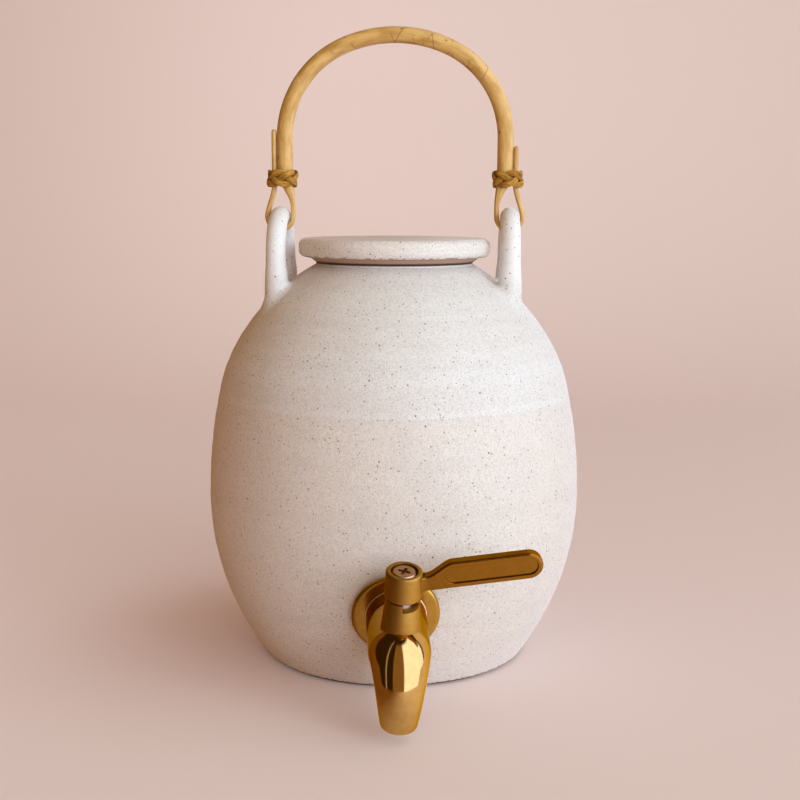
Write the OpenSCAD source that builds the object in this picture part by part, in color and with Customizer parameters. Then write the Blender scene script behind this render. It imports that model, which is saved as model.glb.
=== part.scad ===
// Ceramic water dispenser: a thrown stoneware crock with two ears, a slab lid,
// a bent cane handle tied on with braided rings, and a quarter-turn lever tap.
// Millimetres. The crock stands on z = 0 round the Z axis, and the tap points roughly to -Y.

/* [Crock] */
// Largest outer radius of the belly
belly_r = 82; // [76:0.5:92]
// Height of the largest radius
belly_z = 72; // [66:0.5:80]
// Radius of the flat foot where the belly curve meets the table
foot_r = 57.5; // [52:0.5:62]
// Small bevel round the foot
foot_bevel = 1.2; // [0.4:0.1:2]
// How far the soft corner between belly and shoulder lies inside the belly
break_in = 7.1; // [5.5:0.1:9]
// Height of that soft corner
break_z = 126; // [120:0.5:130]
// Radius of the shoulder's curve in section
shoulder_r = 86.2; // [75:0.5:110]
// Outer radius of the rim that carries the lid
rim_r = 34.4; // [33:0.1:38]
// Height of the rim's flat seat
rim_z = 173; // [168:0.5:180]
// Height of the thin lip under the seat
lip_h = 0.7; // [0.3:0.1:1.5]
// Radius of the mouth
mouth_r = 29; // [24:0.5:31]
// Thickness of the thrown wall
wall = 6; // [5:0.25:7.5]
// Thickness of the floor
floor_t = 8; // [6:0.5:12]
// Bevel where the floor turns up into the wall
floor_bevel = 3; // [2:0.5:10]

/* [Ears] */
// Radius of the clay bar
ear_bar_r = 4.2; // [3.5:0.1:4.6]
// Radius of the arch that the bar's centre line follows
ear_arch_r = 17.5; // [16:0.5:20]
// Height of the arch's centre above the rim
ear_rise = 2.3; // [0:0.1:6]
// Extra radius of a leg where it takes over from the arch
ear_leg_step = 0.1; // [0.05:0.05:0.3]
// Extra radius of a leg where it enters the shoulder
ear_leg_swell = 0.8; // [0.4:0.1:1.6]
// Extra radius of the smeared foot round each leg
ear_flare = 4; // [2:0.1:5]
// Height of the smeared foot
ear_flare_h = 12; // [8:0.5:14]

/* [Lid] */
// Outer radius of the lid
lid_r = 41.9; // [40:0.1:44]
// Thickness of the lid's rounded rim
lid_rim_h = 8; // [7:0.1:10]
// Radius of the rounding on the rim
lid_round = 3; // [2:0.1:3.5]
// Height of the bevelled foot under the rim
lid_bevel_h = 2.5; // [1.5:0.1:4]
// Run of that bevel
lid_bevel_w = 3; // [2:0.1:3.5]
// Depth of the ring that locates the lid in the mouth
lid_ring_h = 7; // [4:0.5:9]
// Wall of that ring
lid_ring_w = 4.5; // [3:0.1:6]
// Free space between the ring and the mouth
lid_ring_gap = 1; // [0.6:0.1:2]
// Thickness of the lid inside its ring
lid_web = 8.4; // [7:0.1:10]

/* [Handle] */
// Diameter of the bent cane
cane_d = 7; // [6:0.1:8]
// Thickness of the shaved end
strip_t = 2.1; // [1.6:0.1:2.4]
// Width of the shaved end
strip_w = 4.8; // [4:0.1:5.6]
// Space between the shaved loop and the ear's bar
loop_gap = 0.4; // [0.3:0.05:0.7]
// Room between the lid and the inner run of the loop
strip_room = 1.4; // [1:0.1:2.5]
// Space between the cane and the tail that lies against it
tail_gap = 0.25; // [0.15:0.05:0.5]
// Height of the left tail above the binding
tail_left = 21; // [14:0.5:26]
// Height of the right tail above the binding
tail_right = 14; // [10:0.5:20]
// Height of the straight cane above the binding
leg_rise = 17.2; // [12:0.2:26]
// Radius of the arch at its shoulders, on the centre line
arch_shoulder_r = 42.5; // [36:0.5:44]
// Radius of the arch at its top, on the centre line
arch_top_r = 56.5; // [53:0.5:90]

/* [Bindings] */
// Height of a binding's middle above the ear
binding_rise = 12; // [10:0.2:16]
// Thickness of the flat strand
strand_t = 0.7; // [0.6:0.05:0.75]
// Width of the flat strand
strand_w = 2; // [1.6:0.1:2.2]
// How far the strand runs above and below the middle
braid_reach = 2.5; // [2.3:0.1:2.8]
// How far the strand steps in and out where it crosses itself
braid_step = 0.76; // [0.74:0.02:0.95]
// Space between the braid and what it holds
braid_gap = 0.12; // [0.1:0.02:0.3]
// Space between the lid and the braid when the lid is lifted out
lift_gap = 0.5; // [0.35:0.05:1]

/* [Tap seat] */
// Height of the tap hole on the wall
tap_z = 39; // [36:0.5:50]
// Angle of the tap round the crock, from the middle between the ears, in degrees
tap_turn = 3; // [-6:0.5:6]
// Turn of the hand-cut tap hole out of square with the wall, in degrees
tap_yaw = 3; // [-3:0.5:3]
// Lean of the tap round its shank, where it came to rest when tightened, in degrees
tap_lean = 2; // [0:0.5:6]
// Depth of the flat ground into the wall for the seal
spot_depth = 1.2; // [1:0.1:1.6]
// Diameter of the threaded shank
shank_d = 16; // [14:0.5:18]
// Space round the shank in the wall
hole_gap = 0.7; // [0.4:0.1:1.2]
// Diameter of the seals
seal_d = 26; // [23:0.5:27]
// Thickness of each seal
seal_t = 2; // [1.5:0.1:3]
// Diameter of the flange
flange_d = 35; // [30:0.5:38]
// Thickness of the flange
flange_t = 2.2; // [1.8:0.1:3]
// Chamfer on the front of the flange
flange_bevel = 0.8; // [0.3:0.1:1.2]
// Thickness of the steel washer inside the crock
washer_t = 1.2; // [0.8:0.1:2]
// Width of the lock nut across its flats
nut_af = 22; // [21:0.5:24]
// Thickness of the lock nut
nut_t = 7; // [5:0.5:9]
// Thread that shows past the lock nut
shank_tail = 4; // [2:0.5:8]

/* [Tap body] */
// Diameter of the barrel
barrel_d = 24; // [22.5:0.5:26]
// Distance from the flange to the axis of the stem
stem_reach = 21; // [19:0.5:26]
// Distance from the stem's axis to the outlet's axis
outlet_reach = 16.8; // [15:0.2:20]
// Drop of the outlet below the barrel's axis
outlet_drop = 22; // [19:0.5:23]
// Outer diameter of the outlet
outlet_d = 14.4; // [13:0.2:16]
// Bore of the outlet
outlet_bore = 9; // [7:0.5:10]
// Length of the outlet's bore
outlet_len = 13; // [10:0.5:14]
// Bore of the shank
inlet_bore = 8.4; // [7:0.2:9]
// Diameter of the collar at its top
collar_d = 12.6; // [12:0.2:15]
// Extra diameter of the collar where it leaves the barrel
collar_flare = 2.2; // [0:0.2:4]
// Height of the collar above the barrel
collar_rise = 10.9; // [9:0.1:14]
// Depth of the collar's notch that stops the lever
notch_depth = 2.9; // [2.2:0.1:4]
// Lever travel that the notch allows, in degrees
lever_travel = 90; // [60:5:110]
// Width of the lever's stop tooth, in degrees
tooth_angle = 24; // [16:1:30]
// Free angle at each end of the travel, in degrees
stop_gap = 1; // [0.5:0.5:3]

/* [Valve] */
// Diameter of the plug
plug_d = 11; // [10:0.2:11.4]
// Height of the plug
plug_h = 14; // [12:0.5:15]
// Wall of the sleeve round the plug
sleeve_wall = 1.45; // [1:0.05:1.6]
// Diameter of the port through plug and sleeve
port_d = 6.8; // [5:0.2:7.2]
// Diameter of the stem
stem_d = 7; // [6.4:0.1:7.4]
// Side of the square that drives the lever
drive_w = 4.8; // [4.4:0.1:5]
// Section of the stem's seal rings
ring_d = 0.94; // [0.8:0.02:1.1]
// Distance between the stem's seal rings
ring_pitch = 5; // [3.5:0.5:6]
// Section of the bottom cap's seal ring
cap_ring_d = 1.2; // [1:0.05:1.5]
// Wall round the bottom cap
boss_wall = 1.8; // [1.4:0.1:2.4]
// Length of the bottom cap
cap_h = 5.4; // [4.5:0.1:6]
// Clearance of a running fit, on the radius
run_gap = 0.05; // [0.03:0.01:0.1]
// Space at the ends of the plug
end_gap = 0.5; // [0.3:0.1:1]
// How far the bottom boss stands below the barrel
boss_rise = 0.6; // [0.4:0.1:1.5]
// Width of the bearing washer under the lever
bearing_w = 1.25; // [1:0.05:1.5]
// Thickness of the bearing washer under the lever
bearing_t = 0.5; // [0.4:0.05:0.8]

/* [Lever] */
// Diameter of the hub
hub_d = 13.8; // [12.8:0.1:14]
// Height of the hub
hub_h = 11; // [9:0.5:12]
// Rounding round the hub's top edge
hub_round = 0.9; // [0.4:0.1:1]
// Length of the lever from the stem's axis
lever_len = 52.5; // [44:0.5:60]
// Height of the paddle
paddle_h = 10.8; // [9:0.2:13]
// Thickness of the paddle
paddle_t = 4; // [3:0.1:5]
// Height of the neck beside the hub
neck_h = 6; // [5:0.1:8]
// Length of the neck outside the hub
neck_len = 2; // [1.5:0.5:4]
// Radius of the hollow curve by which the hub flows into the neck
neck_flow = 5; // [2:0.5:6]
// Length of the curve from the neck up to the paddle
rise_len = 10.5; // [6:0.5:12]
// Upward slope of the paddle, in degrees
paddle_slope = 9; // [0:0.5:10]
// Margin round the bare recessed panel
panel_margin = 1.7; // [1:0.1:3]
// Depth of the recessed panel
panel_depth = 0.7; // [0.4:0.1:1]

/* [Lever screw] */
// Diameter of the screw
screw_d = 4; // [3:0.1:4]
// Length of the screw under its head
screw_len = 12; // [9:0.5:14]
// Diameter of the screw's head
head_d = 9; // [8:0.1:9.4]
// Space round the screw's head in the hub
head_room = 0.6; // [0.4:0.1:0.8]
// Height of the screw's head
head_h = 2; // [1.6:0.1:2.6]
// Thickness of the spring washer under the head
spring_t = 0.9; // [0.6:0.1:1.2]
// Depth of the head below the hub's top
head_depth = 0.3; // [0:0.1:0.6]

/* [Hidden] */
$fn = 64;

// Colours
glaze = "#e3dcd5";
cane_tan = "#c99a55";
rattan = "#b98a4c";
gold = "#c79a3e";
steel = "#c4c6c8";
rubber = "#e9e9e6";
ptfe = "#f4f4f2";
black = "#2a2a2a";

// Crock outline: two arcs that share the belly's widest point, and the shoulder's arc
lower_r = ((belly_r - foot_r) ^ 2 + belly_z ^ 2) / (2 * (belly_r - foot_r));
upper_r = (break_in ^ 2 + (break_z - belly_z) ^ 2) / (2 * break_in);
lower_x = belly_r - lower_r;
upper_x = belly_r - upper_r;
break_pt = [belly_r - break_in, break_z];
lip_pt = [rim_r, rim_z - lip_h];
shoulder_c = arc_centre(break_pt, lip_pt, shoulder_r);
break_turn = 3;
belly_steps = 10;
shoulder_steps = 12;
cut = 1;

// Places from the lid outward to the ear and the cane, and up from the rim
lid_top_z = rim_z + lid_bevel_h + lid_rim_h;
ear_x = lid_r + strip_room + strip_t + loop_gap + ear_bar_r;
ear_axis_z = rim_z + ear_rise;
bar_z = ear_axis_z + ear_arch_r;
binding_z = bar_z + ear_bar_r + binding_rise;
braid_t = 2 * braid_step + strand_t;
cane_x = lid_r + lift_gap + braid_t + braid_gap + cane_d / 2;
tail_x = cane_x + cane_d / 2 + tail_gap + strip_t / 2;
loop_r = ear_bar_r + loop_gap + strip_t / 2;
spring_z = binding_z + leg_rise;
binding_half = braid_reach + strand_w / 2;

// Tap frame: the tap's tilt follows the belly's curve
tap_tilt = asin((belly_z - tap_z) / lower_r);
tap_r = lower_x + lower_r * cos(tap_tilt);
shank_r = shank_d / 2;
flange_s = seal_t - spot_depth;
body_s = flange_s + flange_t;
stem_s = body_s + stem_reach;
outlet_s = stem_s + outlet_reach;
barrel_r = barrel_d / 2;
outlet_r = outlet_d / 2;
inner_s = -wall;
washer_s = inner_s - seal_t;
nut_s = washer_s - washer_t;
shank_s = nut_s - nut_t - shank_tail;
slip = 0.1;

// Valve heights on the stem's axis, measured from the barrel's axis
plug_r = plug_d / 2;
chamber_r = plug_r + sleeve_wall + 2 * run_gap;
chamber_top = plug_h / 2 + end_gap;
stem_r = stem_d / 2;
stem_bore_r = stem_r + 2 * run_gap;
collar_top = barrel_r + collar_rise;
hub_z = collar_top + bearing_t + 2 * run_gap;
hub_top = hub_z + hub_h;
head_z = hub_top - head_depth - head_h;
spring_z0 = head_z - spring_t;
web_t = 2;
drive_top = spring_z0 - web_t;
bearing_r = stem_r + bearing_w;
tooth_r = bearing_r + 2 * slip;
ring_groove_r = stem_bore_r - ring_d - run_gap;
groove_room = 0.3;
boss_z = barrel_r + boss_rise;
cap_r = chamber_r - 2 * run_gap;
cap_groove_r = chamber_r - cap_ring_d;

// Angle of the stop tooth with the lever shut, from +X toward the wall
lever_start = 10;

// Points on an arc, from the first angle to the last; skip leaves out that many first points
function arc(cx, cy, r, a0, a1, n, skip = 0) =
    [for (i = [skip:n]) let (a = a0 + (a1 - a0) * i / n) [cx + r * cos(a), cy + r * sin(a)]];

// Centre of an arc through two points, on the left of the way from p to q
function arc_centre(p, q, r) =
    let (d = q - p, h = sqrt(r ^ 2 - (norm(d) / 2) ^ 2))
    (p + q) / 2 + [-d[1], d[0]] / norm(d) * h;

function angle_to(c, p) = atan2(p[1] - c[1], p[0] - c[0]);
function blend(u) = let (t = min(max(u, 0), 1)) t * t * (3 - 2 * t);
function mix(a, b, u) = a + (b - a) * u;
function unit(v) = v / norm(v);

// Height of the shoulder's outer face at a radius
function shoulder_z(r) = shoulder_c[1] + sqrt(shoulder_r ^ 2 - (r - shoulder_c[0]) ^ 2);

// Skin over a list of rings, each with the same count of points; closed joins last to first
module skin(rings, closed = false) {
    n = len(rings);
    m = len(rings[0]);
    last = closed ? n - 1 : n - 2;
    pts = [for (ring = rings) for (p = ring) p];
    sides = [for (i = [0:last]) for (k = [0:m - 1])
        let (
            here = i * m,
            next = (i + 1) % n * m,
            l = (k + 1) % m
        )
        each [[here + k, here + l, next + l], [here + k, next + l, next + k]]];
    end = (n - 1) * m;
    caps = [for (k = [1:m - 2]) each [[0, k + 1, k], [end, end + k, end + k + 1]]];
    polyhedron(points = pts, faces = closed ? sides : concat(sides, caps), convexity = 8);
}

// Frame of the tap: forward is -Y and up is +Z, set on the wall, tilted with it and leaned
module at_tap() {
    rotate([0, 0, tap_turn])
        translate([0, -tap_r, tap_z])
        rotate([0, 0, tap_yaw])
        rotate([tap_tilt, 0, 0])
        rotate([0, tap_lean, 0])
        children();
}

// Along the shank: the children's Z runs forward from distance s
module along(s) {
    translate([0, -s, 0]) rotate([90, 0, 0]) children();
}

module at_stem() {
    translate([0, -stem_s, 0]) children();
}

module ring(r_in, r_out, h) {
    difference() {
        cylinder(r = r_out, h = h);
        translate([0, 0, -cut]) cylinder(r = r_in, h = h + 2 * cut);
    }
}

// Part of a ring between two angles
module sector(r_in, r_out, a0, a1, h) {
    reach = 2 * r_out;
    linear_extrude(h) intersection() {
        difference() {
            circle(r = r_out);
            circle(r = r_in);
        }
        polygon(concat([[0, 0]], arc(0, 0, reach, a0, a1, 4)));
    }
}

// Crock

function crock_outline() = concat(
    [[0, 0], [foot_r - foot_bevel, 0]],
    arc(lower_x, belly_z, lower_r, -asin((belly_z - foot_bevel) / lower_r), 0, belly_steps),
    arc(upper_x, belly_z, upper_r, 0, asin((break_z - belly_z) / upper_r), belly_steps, 1),
    arc(shoulder_c[0], shoulder_c[1], shoulder_r,
        angle_to(shoulder_c, break_pt), angle_to(shoulder_c, lip_pt), shoulder_steps, 1),
    [[rim_r, rim_z], [0, rim_z]]
);

function cavity_outline() =
    let (
        lower = lower_r - wall,
        upper = upper_r - wall,
        shoulder = shoulder_r - wall,
        low_z = floor_t + floor_bevel,
        low_a = -asin((belly_z - low_z) / lower),
        low_x = lower_x + lower * cos(low_a),
        break_a = asin((break_z - belly_z) / upper_r) - break_turn,
        turn_a = angle_to(shoulder_c, break_pt) + break_turn,
        mouth_a = acos((mouth_r - shoulder_c[0]) / shoulder)
    )
    concat(
        [[0, floor_t], [low_x - floor_bevel, floor_t]],
        arc(lower_x, belly_z, lower, low_a, 0, belly_steps),
        arc(upper_x, belly_z, upper, 0, break_a, belly_steps, 1),
        arc(shoulder_c[0], shoulder_c[1], shoulder, turn_a, mouth_a, shoulder_steps),
        [[mouth_r, rim_z + cut], [0, rim_z + cut]]
    );

module crock_body() {
    rotate_extrude() polygon(crock_outline());
}

module crock() {
    color(glaze) difference() {
        crock_body();
        rotate_extrude() polygon(cavity_outline());
        at_tap() {
            along(-3 * wall) cylinder(r = shank_r + hole_gap, h = 5 * wall);
            along(-spot_depth) cylinder(d = flange_d, h = wall);
            along(inner_s - wall) cylinder(d = seal_d + 2 * slip, h = wall);
        }
    }
}

// Smeared foot of an ear, turned round its leg, from its lower end upward
module ear_foot(leg_r) {
    steps = 6;
    rotate_extrude() polygon(concat(
        [[0, 0], [leg_r + ear_flare, 0]],
        [for (i = [0:steps]) let (u = i / steps) [leg_r + ear_flare * (1 - u) ^ 2, wall + ear_flare_h * u]],
        [[0, wall + ear_flare_h]]
    ));
}

// One pulled ear: an arch of clay with two legs that are smeared onto the shoulder.
// The arch runs a little past its half turn, so that it ends inside its legs.
module ear() {
    tuck = 4;
    meet_z = shoulder_z(norm([ear_x, ear_arch_r]));
    leg_h = ear_axis_z - meet_z + 2 * wall;
    leg_top = ear_bar_r + ear_leg_step;
    leg_low = ear_bar_r + ear_leg_swell;
    foot_top = meet_z + ear_flare_h / 3;
    foot_in = mix(leg_top, leg_low, (ear_axis_z - foot_top) / leg_h) - ear_leg_step;
    color(glaze) difference() {
        union() {
            translate([ear_x, 0, ear_axis_z])
                rotate([90, 0, 90])
                rotate([0, 0, -tuck])
                rotate_extrude(angle = 180 + 2 * tuck)
                translate([ear_arch_r, 0])
                circle(r = ear_bar_r);
            for (side = [-1, 1]) translate([ear_x, side * ear_arch_r, 0]) {
                translate([0, 0, ear_axis_z - leg_h]) cylinder(h = leg_h, r1 = leg_low, r2 = leg_top);
                translate([0, 0, foot_top - ear_flare_h - wall]) ear_foot(foot_in);
            }
        }
        crock_body();
    }
}

module right_ear() {
    ear();
}

module left_ear() {
    mirror([1, 0, 0]) ear();
}

module lid() {
    ring_r = mouth_r - lid_ring_gap;
    rim_low = rim_z + lid_bevel_h;
    color(glaze) rotate_extrude() polygon(concat(
        [[0, lid_top_z - lid_web], [ring_r - lid_ring_w, lid_top_z - lid_web]],
        [[ring_r - lid_ring_w, rim_z - lid_ring_h], [ring_r, rim_z - lid_ring_h], [ring_r, rim_z]],
        [[rim_r, rim_z], [rim_r + lid_bevel_w, rim_low]],
        arc(lid_r - lid_round, rim_low + lid_round, lid_round, -90, 0, 6),
        arc(lid_r - lid_round, lid_top_z - lid_round, lid_round, 0, 90, 6),
        [[0, lid_top_z]]
    ));
}

// Handle

// One side of the handle from the tail's end to the top of the arch.
// Each entry is x, z, half the thickness in the plane of the arch and half the depth along Y.
// The tail's end is trimmed, and the inner run of the loop swells into the full cane.
function handle_side(tail) =
    let (
        st = strip_t / 2,
        sd = strip_w / 2,
        cr = cane_d / 2,
        tail_z = binding_z + tail,
        trim_h = 1,
        trim_t = 0.7,
        trim_w = 0.6,
        low_z = binding_z - binding_half - loop_gap,
        in_x = ear_x - loop_r,
        face_low = in_x - st,
        face_high = cane_x - cr,
        taper_z = bar_z + ear_bar_r,
        full_z = binding_z + binding_half,
        arch_x = cane_x - arch_shoulder_r,
        arch_z = spring_z - sqrt((arch_top_r - arch_shoulder_r) ^ 2 - arch_x ^ 2),
        crown = atan2(spring_z - arch_z, arch_x)
    )
    concat(
        [[tail_x, tail_z, st * trim_t, sd * trim_w]],
        [for (i = [0:3]) [tail_x, mix(tail_z - trim_h, low_z, i / 3), st, sd]],
        [for (i = [1:4]) [mix(tail_x, ear_x + loop_r, blend(i / 4)), mix(low_z, bar_z, i / 5), st, sd]],
        [for (p = arc(ear_x, bar_z, loop_r, 0, -180, 12)) [p[0], p[1], st, sd]],
        [for (i = [1:10])
            let (
                z = mix(bar_z, full_z, i / 10),
                u = blend((z - taper_z) / (full_z - taper_z)),
                half = mix(st, cr, u)
            )
            [mix(face_low, face_high, u) + half, z, half, mix(sd, cr, u)]],
        [[cane_x, mix(full_z, spring_z, 0.5), cr, cr]],
        [for (p = arc(arch_x, spring_z, arch_shoulder_r, 0, crown, 10)) [p[0], p[1], cr, cr]],
        [for (p = arc(0, arch_z, arch_top_r, crown, 90, 5, 1)) [p[0], p[1], cr, cr]]
    );

function mirrored(path) = [for (p = path) [-p[0], p[1], p[2], p[3]]];
function backward(path) = [for (i = [len(path) - 2:-1:0]) path[i]];

// Rings of a flat path in the XZ plane, oval across the path
function path_rings(path, sides) =
    let (last = len(path) - 1)
    [for (i = [0:last])
        let (
            p = path[i],
            a = path[max(i - 1, 0)],
            b = path[min(i + 1, last)],
            t = unit([b[0] - a[0], b[1] - a[1]])
        )
        [for (k = [0:sides - 1])
            let (w = 360 * k / sides, e = p[2] * cos(w))
            [p[0] - t[1] * e, p[3] * sin(w), p[1] + t[0] * e]]];

module cane_handle() {
    whole = concat(mirrored(handle_side(tail_left)), backward(handle_side(tail_right)));
    color(cane_tan) skin(path_rings(whole, 12));
}

// Braided ring: one strand that goes three times round the cane and its tail and is woven
// over and under itself, with five bights on each edge
leads = 3;
bights = 5;
strand_sides = 6;
strand_rings = 120;
hold_x = (tail_x + strip_t / 2 - cane_x + cane_d / 2) / 2 + braid_gap;
hold_bulge = 1.2;
hold_y = cane_d / 2 * hold_bulge + braid_gap;
binding_x = cane_x - cane_d / 2 + hold_x - braid_gap;

function braid_point(a) =
    let (
        out = braid_step + strand_t / 2,
        rx = hold_x + out,
        ry = hold_y + out,
        n = unit([cos(a) / rx, sin(a) / ry]),
        e = braid_step * sin(2 * bights * a / leads)
    )
    [rx * cos(a) + e * n[0], ry * sin(a) + e * n[1], braid_reach * cos(bights * a / leads)];

function braid_out(a) =
    let (out = braid_step + strand_t / 2)
    unit([cos(a) / (hold_x + out), sin(a) / (hold_y + out), 0]);

function braid_ring(i) =
    let (
        step = 360 * leads / strand_rings,
        a = i * step,
        p = braid_point(a),
        t = unit(braid_point(a + step) - braid_point(a - step)),
        o = braid_out(a),
        n = unit(o - (o * t) * t),
        w = cross(t, n)
    )
    [for (k = [0:strand_sides - 1])
        let (v = 360 * k / strand_sides)
        p + n * strand_t / 2 * cos(v) + w * strand_w / 2 * sin(v)];

function braid_rings() = [for (i = [0:strand_rings - 1]) braid_ring(i)];

// Least distance between points of the strand that lie on different passes
function braid_space(rings) =
    let (n = len(rings), apart = 10)
    min([for (i = [0:n - 1]) for (j = [i + apart:n - 1])
        if (j - i < n - apart && norm(rings[i][0] - rings[j][0]) < 2 * strand_w)
            min([for (p = rings[i]) for (q = rings[j]) norm(p - q)])]);

module binding() {
    rings = braid_rings();
    echo(least_gap_of_the_braid_to_itself = braid_space(rings));
    color(rattan) translate([binding_x, 0, binding_z]) skin(rings, closed = true);
}

module right_binding() {
    binding();
}

module left_binding() {
    mirror([1, 0, 0]) binding();
}

// Tap

// Rings of the barrel and its duck-bill spout: straight to the stem, then a tapering
// quarter of an ellipse down to the outlet
function spout_rings() =
    let (
        sides = 32,
        turn_lead = 3,
        turn_s = stem_s + turn_lead,
        taper_power = 1.2,
        run = outlet_s - turn_s,
        bevel = 0.8,
        straight = [[body_s, 0, barrel_r - bevel, 0], [body_s + bevel, 0, barrel_r, 0]],
        bend = [for (a = [0:7.5:90])
            [turn_s + run * sin(a), -outlet_drop * (1 - cos(a)),
                mix(barrel_r, outlet_r, (a / 90) ^ taper_power),
                atan2(outlet_drop * sin(a), run * cos(a))]],
        path = concat(straight, bend)
    )
    [for (p = path) [for (k = [0:sides - 1])
        let (w = -360 * k / sides, up = p[2] * sin(w))
        [p[2] * cos(w), -(p[0] + up * sin(p[3])), p[1] + up * cos(p[3])]]];

module tap_body() {
    collar_low = barrel_r / 2;
    collar_h = collar_top - collar_low;
    collar_low_d = collar_d + collar_flare * collar_h / collar_rise;
    bore_end = outlet_len - outlet_drop;
    bore_len = norm([outlet_reach, bore_end]);
    tooth_edge = tooth_angle / 2 + stop_gap;
    color(gold) at_tap() difference() {
        union() {
            skin(spout_rings());
            at_stem() translate([0, 0, collar_low])
                cylinder(d1 = collar_low_d, d2 = collar_d, h = collar_h);
            at_stem() translate([0, 0, -boss_z]) cylinder(r = chamber_r + boss_wall, h = boss_z);
            along(shank_s) cylinder(r = shank_r, h = body_s - shank_s + barrel_r / 2);
        }
        along(shank_s - cut) cylinder(d = inlet_bore, h = stem_s - shank_s + cut);
        at_stem() {
            translate([0, 0, -boss_z - cut]) cylinder(r = chamber_r, h = boss_z + cut + chamber_top);
            cylinder(r = stem_bore_r, h = collar_top + cut);
            translate([0, 0, collar_top - notch_depth])
                sector(stem_bore_r / 2, collar_d, lever_start - lever_travel - tooth_edge,
                    lever_start + tooth_edge, notch_depth + cut);
            rotate([90 + atan2(-bore_end, outlet_reach), 0, 0]) cylinder(d = port_d, h = bore_len);
        }
        translate([0, -outlet_s, -outlet_drop - cut]) cylinder(d = outlet_bore, h = outlet_len + cut);
    }
}

module tap_flange() {
    color(gold) at_tap() along(flange_s) difference() {
        union() {
            cylinder(d = flange_d, h = flange_t - flange_bevel);
            translate([0, 0, flange_t - flange_bevel])
                cylinder(d1 = flange_d, d2 = flange_d - 2 * flange_bevel, h = flange_bevel);
        }
        translate([0, 0, -cut]) cylinder(r = shank_r + slip, h = flange_t + 2 * cut);
    }
}

module outer_seal() {
    color(rubber) at_tap() along(-spot_depth) ring(shank_r + slip, seal_d / 2, seal_t);
}

module inner_seal() {
    color(rubber) at_tap() along(washer_s) ring(shank_r + slip, seal_d / 2, seal_t);
}

module inner_washer() {
    color(steel) at_tap() along(nut_s) ring(shank_r + slip, seal_d / 2, washer_t);
}

// Hexagon nut with its corners turned off at both ends
module lock_nut() {
    corner_r = nut_af / 2 / cos(30);
    turn_h = corner_r - nut_af / 2;
    color(steel) at_tap() along(nut_s - nut_t) difference() {
        intersection() {
            cylinder(r = corner_r, h = nut_t, $fn = 6);
            union() {
                cylinder(r1 = nut_af / 2, r2 = corner_r + slip, h = turn_h);
                translate([0, 0, turn_h]) cylinder(r = corner_r + slip, h = nut_t - 2 * turn_h);
                translate([0, 0, nut_t - turn_h])
                    cylinder(r1 = corner_r + slip, r2 = nut_af / 2, h = turn_h);
            }
        }
        translate([0, 0, -cut]) cylinder(r = shank_r + slip, h = nut_t + 2 * cut);
    }
}

module valve_sleeve() {
    low = -plug_h / 2;
    color(ptfe) at_tap() at_stem() difference() {
        translate([0, 0, low]) ring(plug_r + run_gap, plug_r + run_gap + sleeve_wall, plug_h);
        rotate([90, 0, 0]) cylinder(d = port_d, h = 4 * plug_d, center = true);
    }
}

// Height of a seal ring on the stem, counted from the lower one
function ring_z(i) = (chamber_top + collar_top - notch_depth) / 2 + (i - 0.5) * ring_pitch;

module valve_plug() {
    groove_h = ring_d + groove_room;
    drill_room = 1.5;
    tap_hole = screw_len - spring_t - web_t + drill_room;
    drive_low = collar_top + run_gap;
    color(steel) at_tap() at_stem() difference() {
        union() {
            translate([0, 0, -plug_h / 2]) cylinder(r = plug_r, h = plug_h);
            cylinder(r = stem_r, h = drive_low);
            translate([-drive_w / 2, -drive_w / 2, 0]) cube([drive_w, drive_w, drive_top - 2 * run_gap]);
        }
        rotate([0, 90, 0]) cylinder(d = port_d, h = 2 * plug_d, center = true);
        for (i = [0, 1]) translate([0, 0, ring_z(i) - groove_h / 2])
            ring(ring_groove_r, stem_d, groove_h);
        translate([0, 0, drive_top - tap_hole]) cylinder(d = screw_d + 2 * run_gap, h = tap_hole + cut);
    }
}

module stem_o_rings() {
    at_r = (ring_groove_r + stem_bore_r) / 2;
    color(black) at_tap() at_stem() for (i = [0, 1])
        translate([0, 0, ring_z(i)]) rotate_extrude() translate([at_r, 0]) circle(d = ring_d);
}

module bearing_washer() {
    color(ptfe) at_tap() at_stem()
        translate([0, 0, collar_top + run_gap]) ring(stem_r + slip, bearing_r, bearing_t);
}

module bottom_cap() {
    slot_w = 1.4;
    slot_h = 1.2;
    groove_h = cap_ring_d + groove_room;
    color(gold) at_tap() at_stem() translate([0, 0, -boss_z]) difference() {
        cylinder(r = cap_r, h = cap_h);
        translate([0, 0, cap_h / 2 - groove_h / 2]) ring(cap_groove_r - run_gap, chamber_r, groove_h);
        translate([-chamber_r, -slot_w / 2, -cut]) cube([2 * chamber_r, slot_w, slot_h + cut]);
    }
}

module cap_o_ring() {
    color(black) at_tap() at_stem() translate([0, 0, -boss_z + cap_h / 2])
        rotate_extrude()
        translate([chamber_r - cap_ring_d / 2 - run_gap / 2, 0])
        circle(d = cap_ring_d - run_gap);
}

// Lever

// Outline of the lever's plate along its own slope: neck, rise and round-ended paddle
module lever_outline() {
    tip_r = paddle_h / 2;
    rise_x0 = hub_d / 2 + neck_len;
    rise_x1 = rise_x0 + rise_len;
    polygon(concat(
        [[0, 0]],
        arc(lever_len - tip_r, tip_r, tip_r, -90, 90, 16),
        [for (i = [0:8]) [mix(rise_x1, rise_x0, i / 8), mix(paddle_h, neck_h, blend(i / 8))]],
        [[0, neck_h]]
    ));
}

// Outline of the bare panel, which begins while the plate still rises
module lever_panel() {
    start = 0.65;
    r = paddle_h / 2 - panel_margin;
    x0 = hub_d / 2 + neck_len + start * rise_len + r;
    x1 = lever_len - paddle_h / 2;
    translate([x0, paddle_h / 2]) circle(r = r);
    translate([x1, paddle_h / 2]) circle(r = r);
    translate([x0, paddle_h / 2 - r]) square([x1 - x0, 2 * r]);
}

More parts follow.
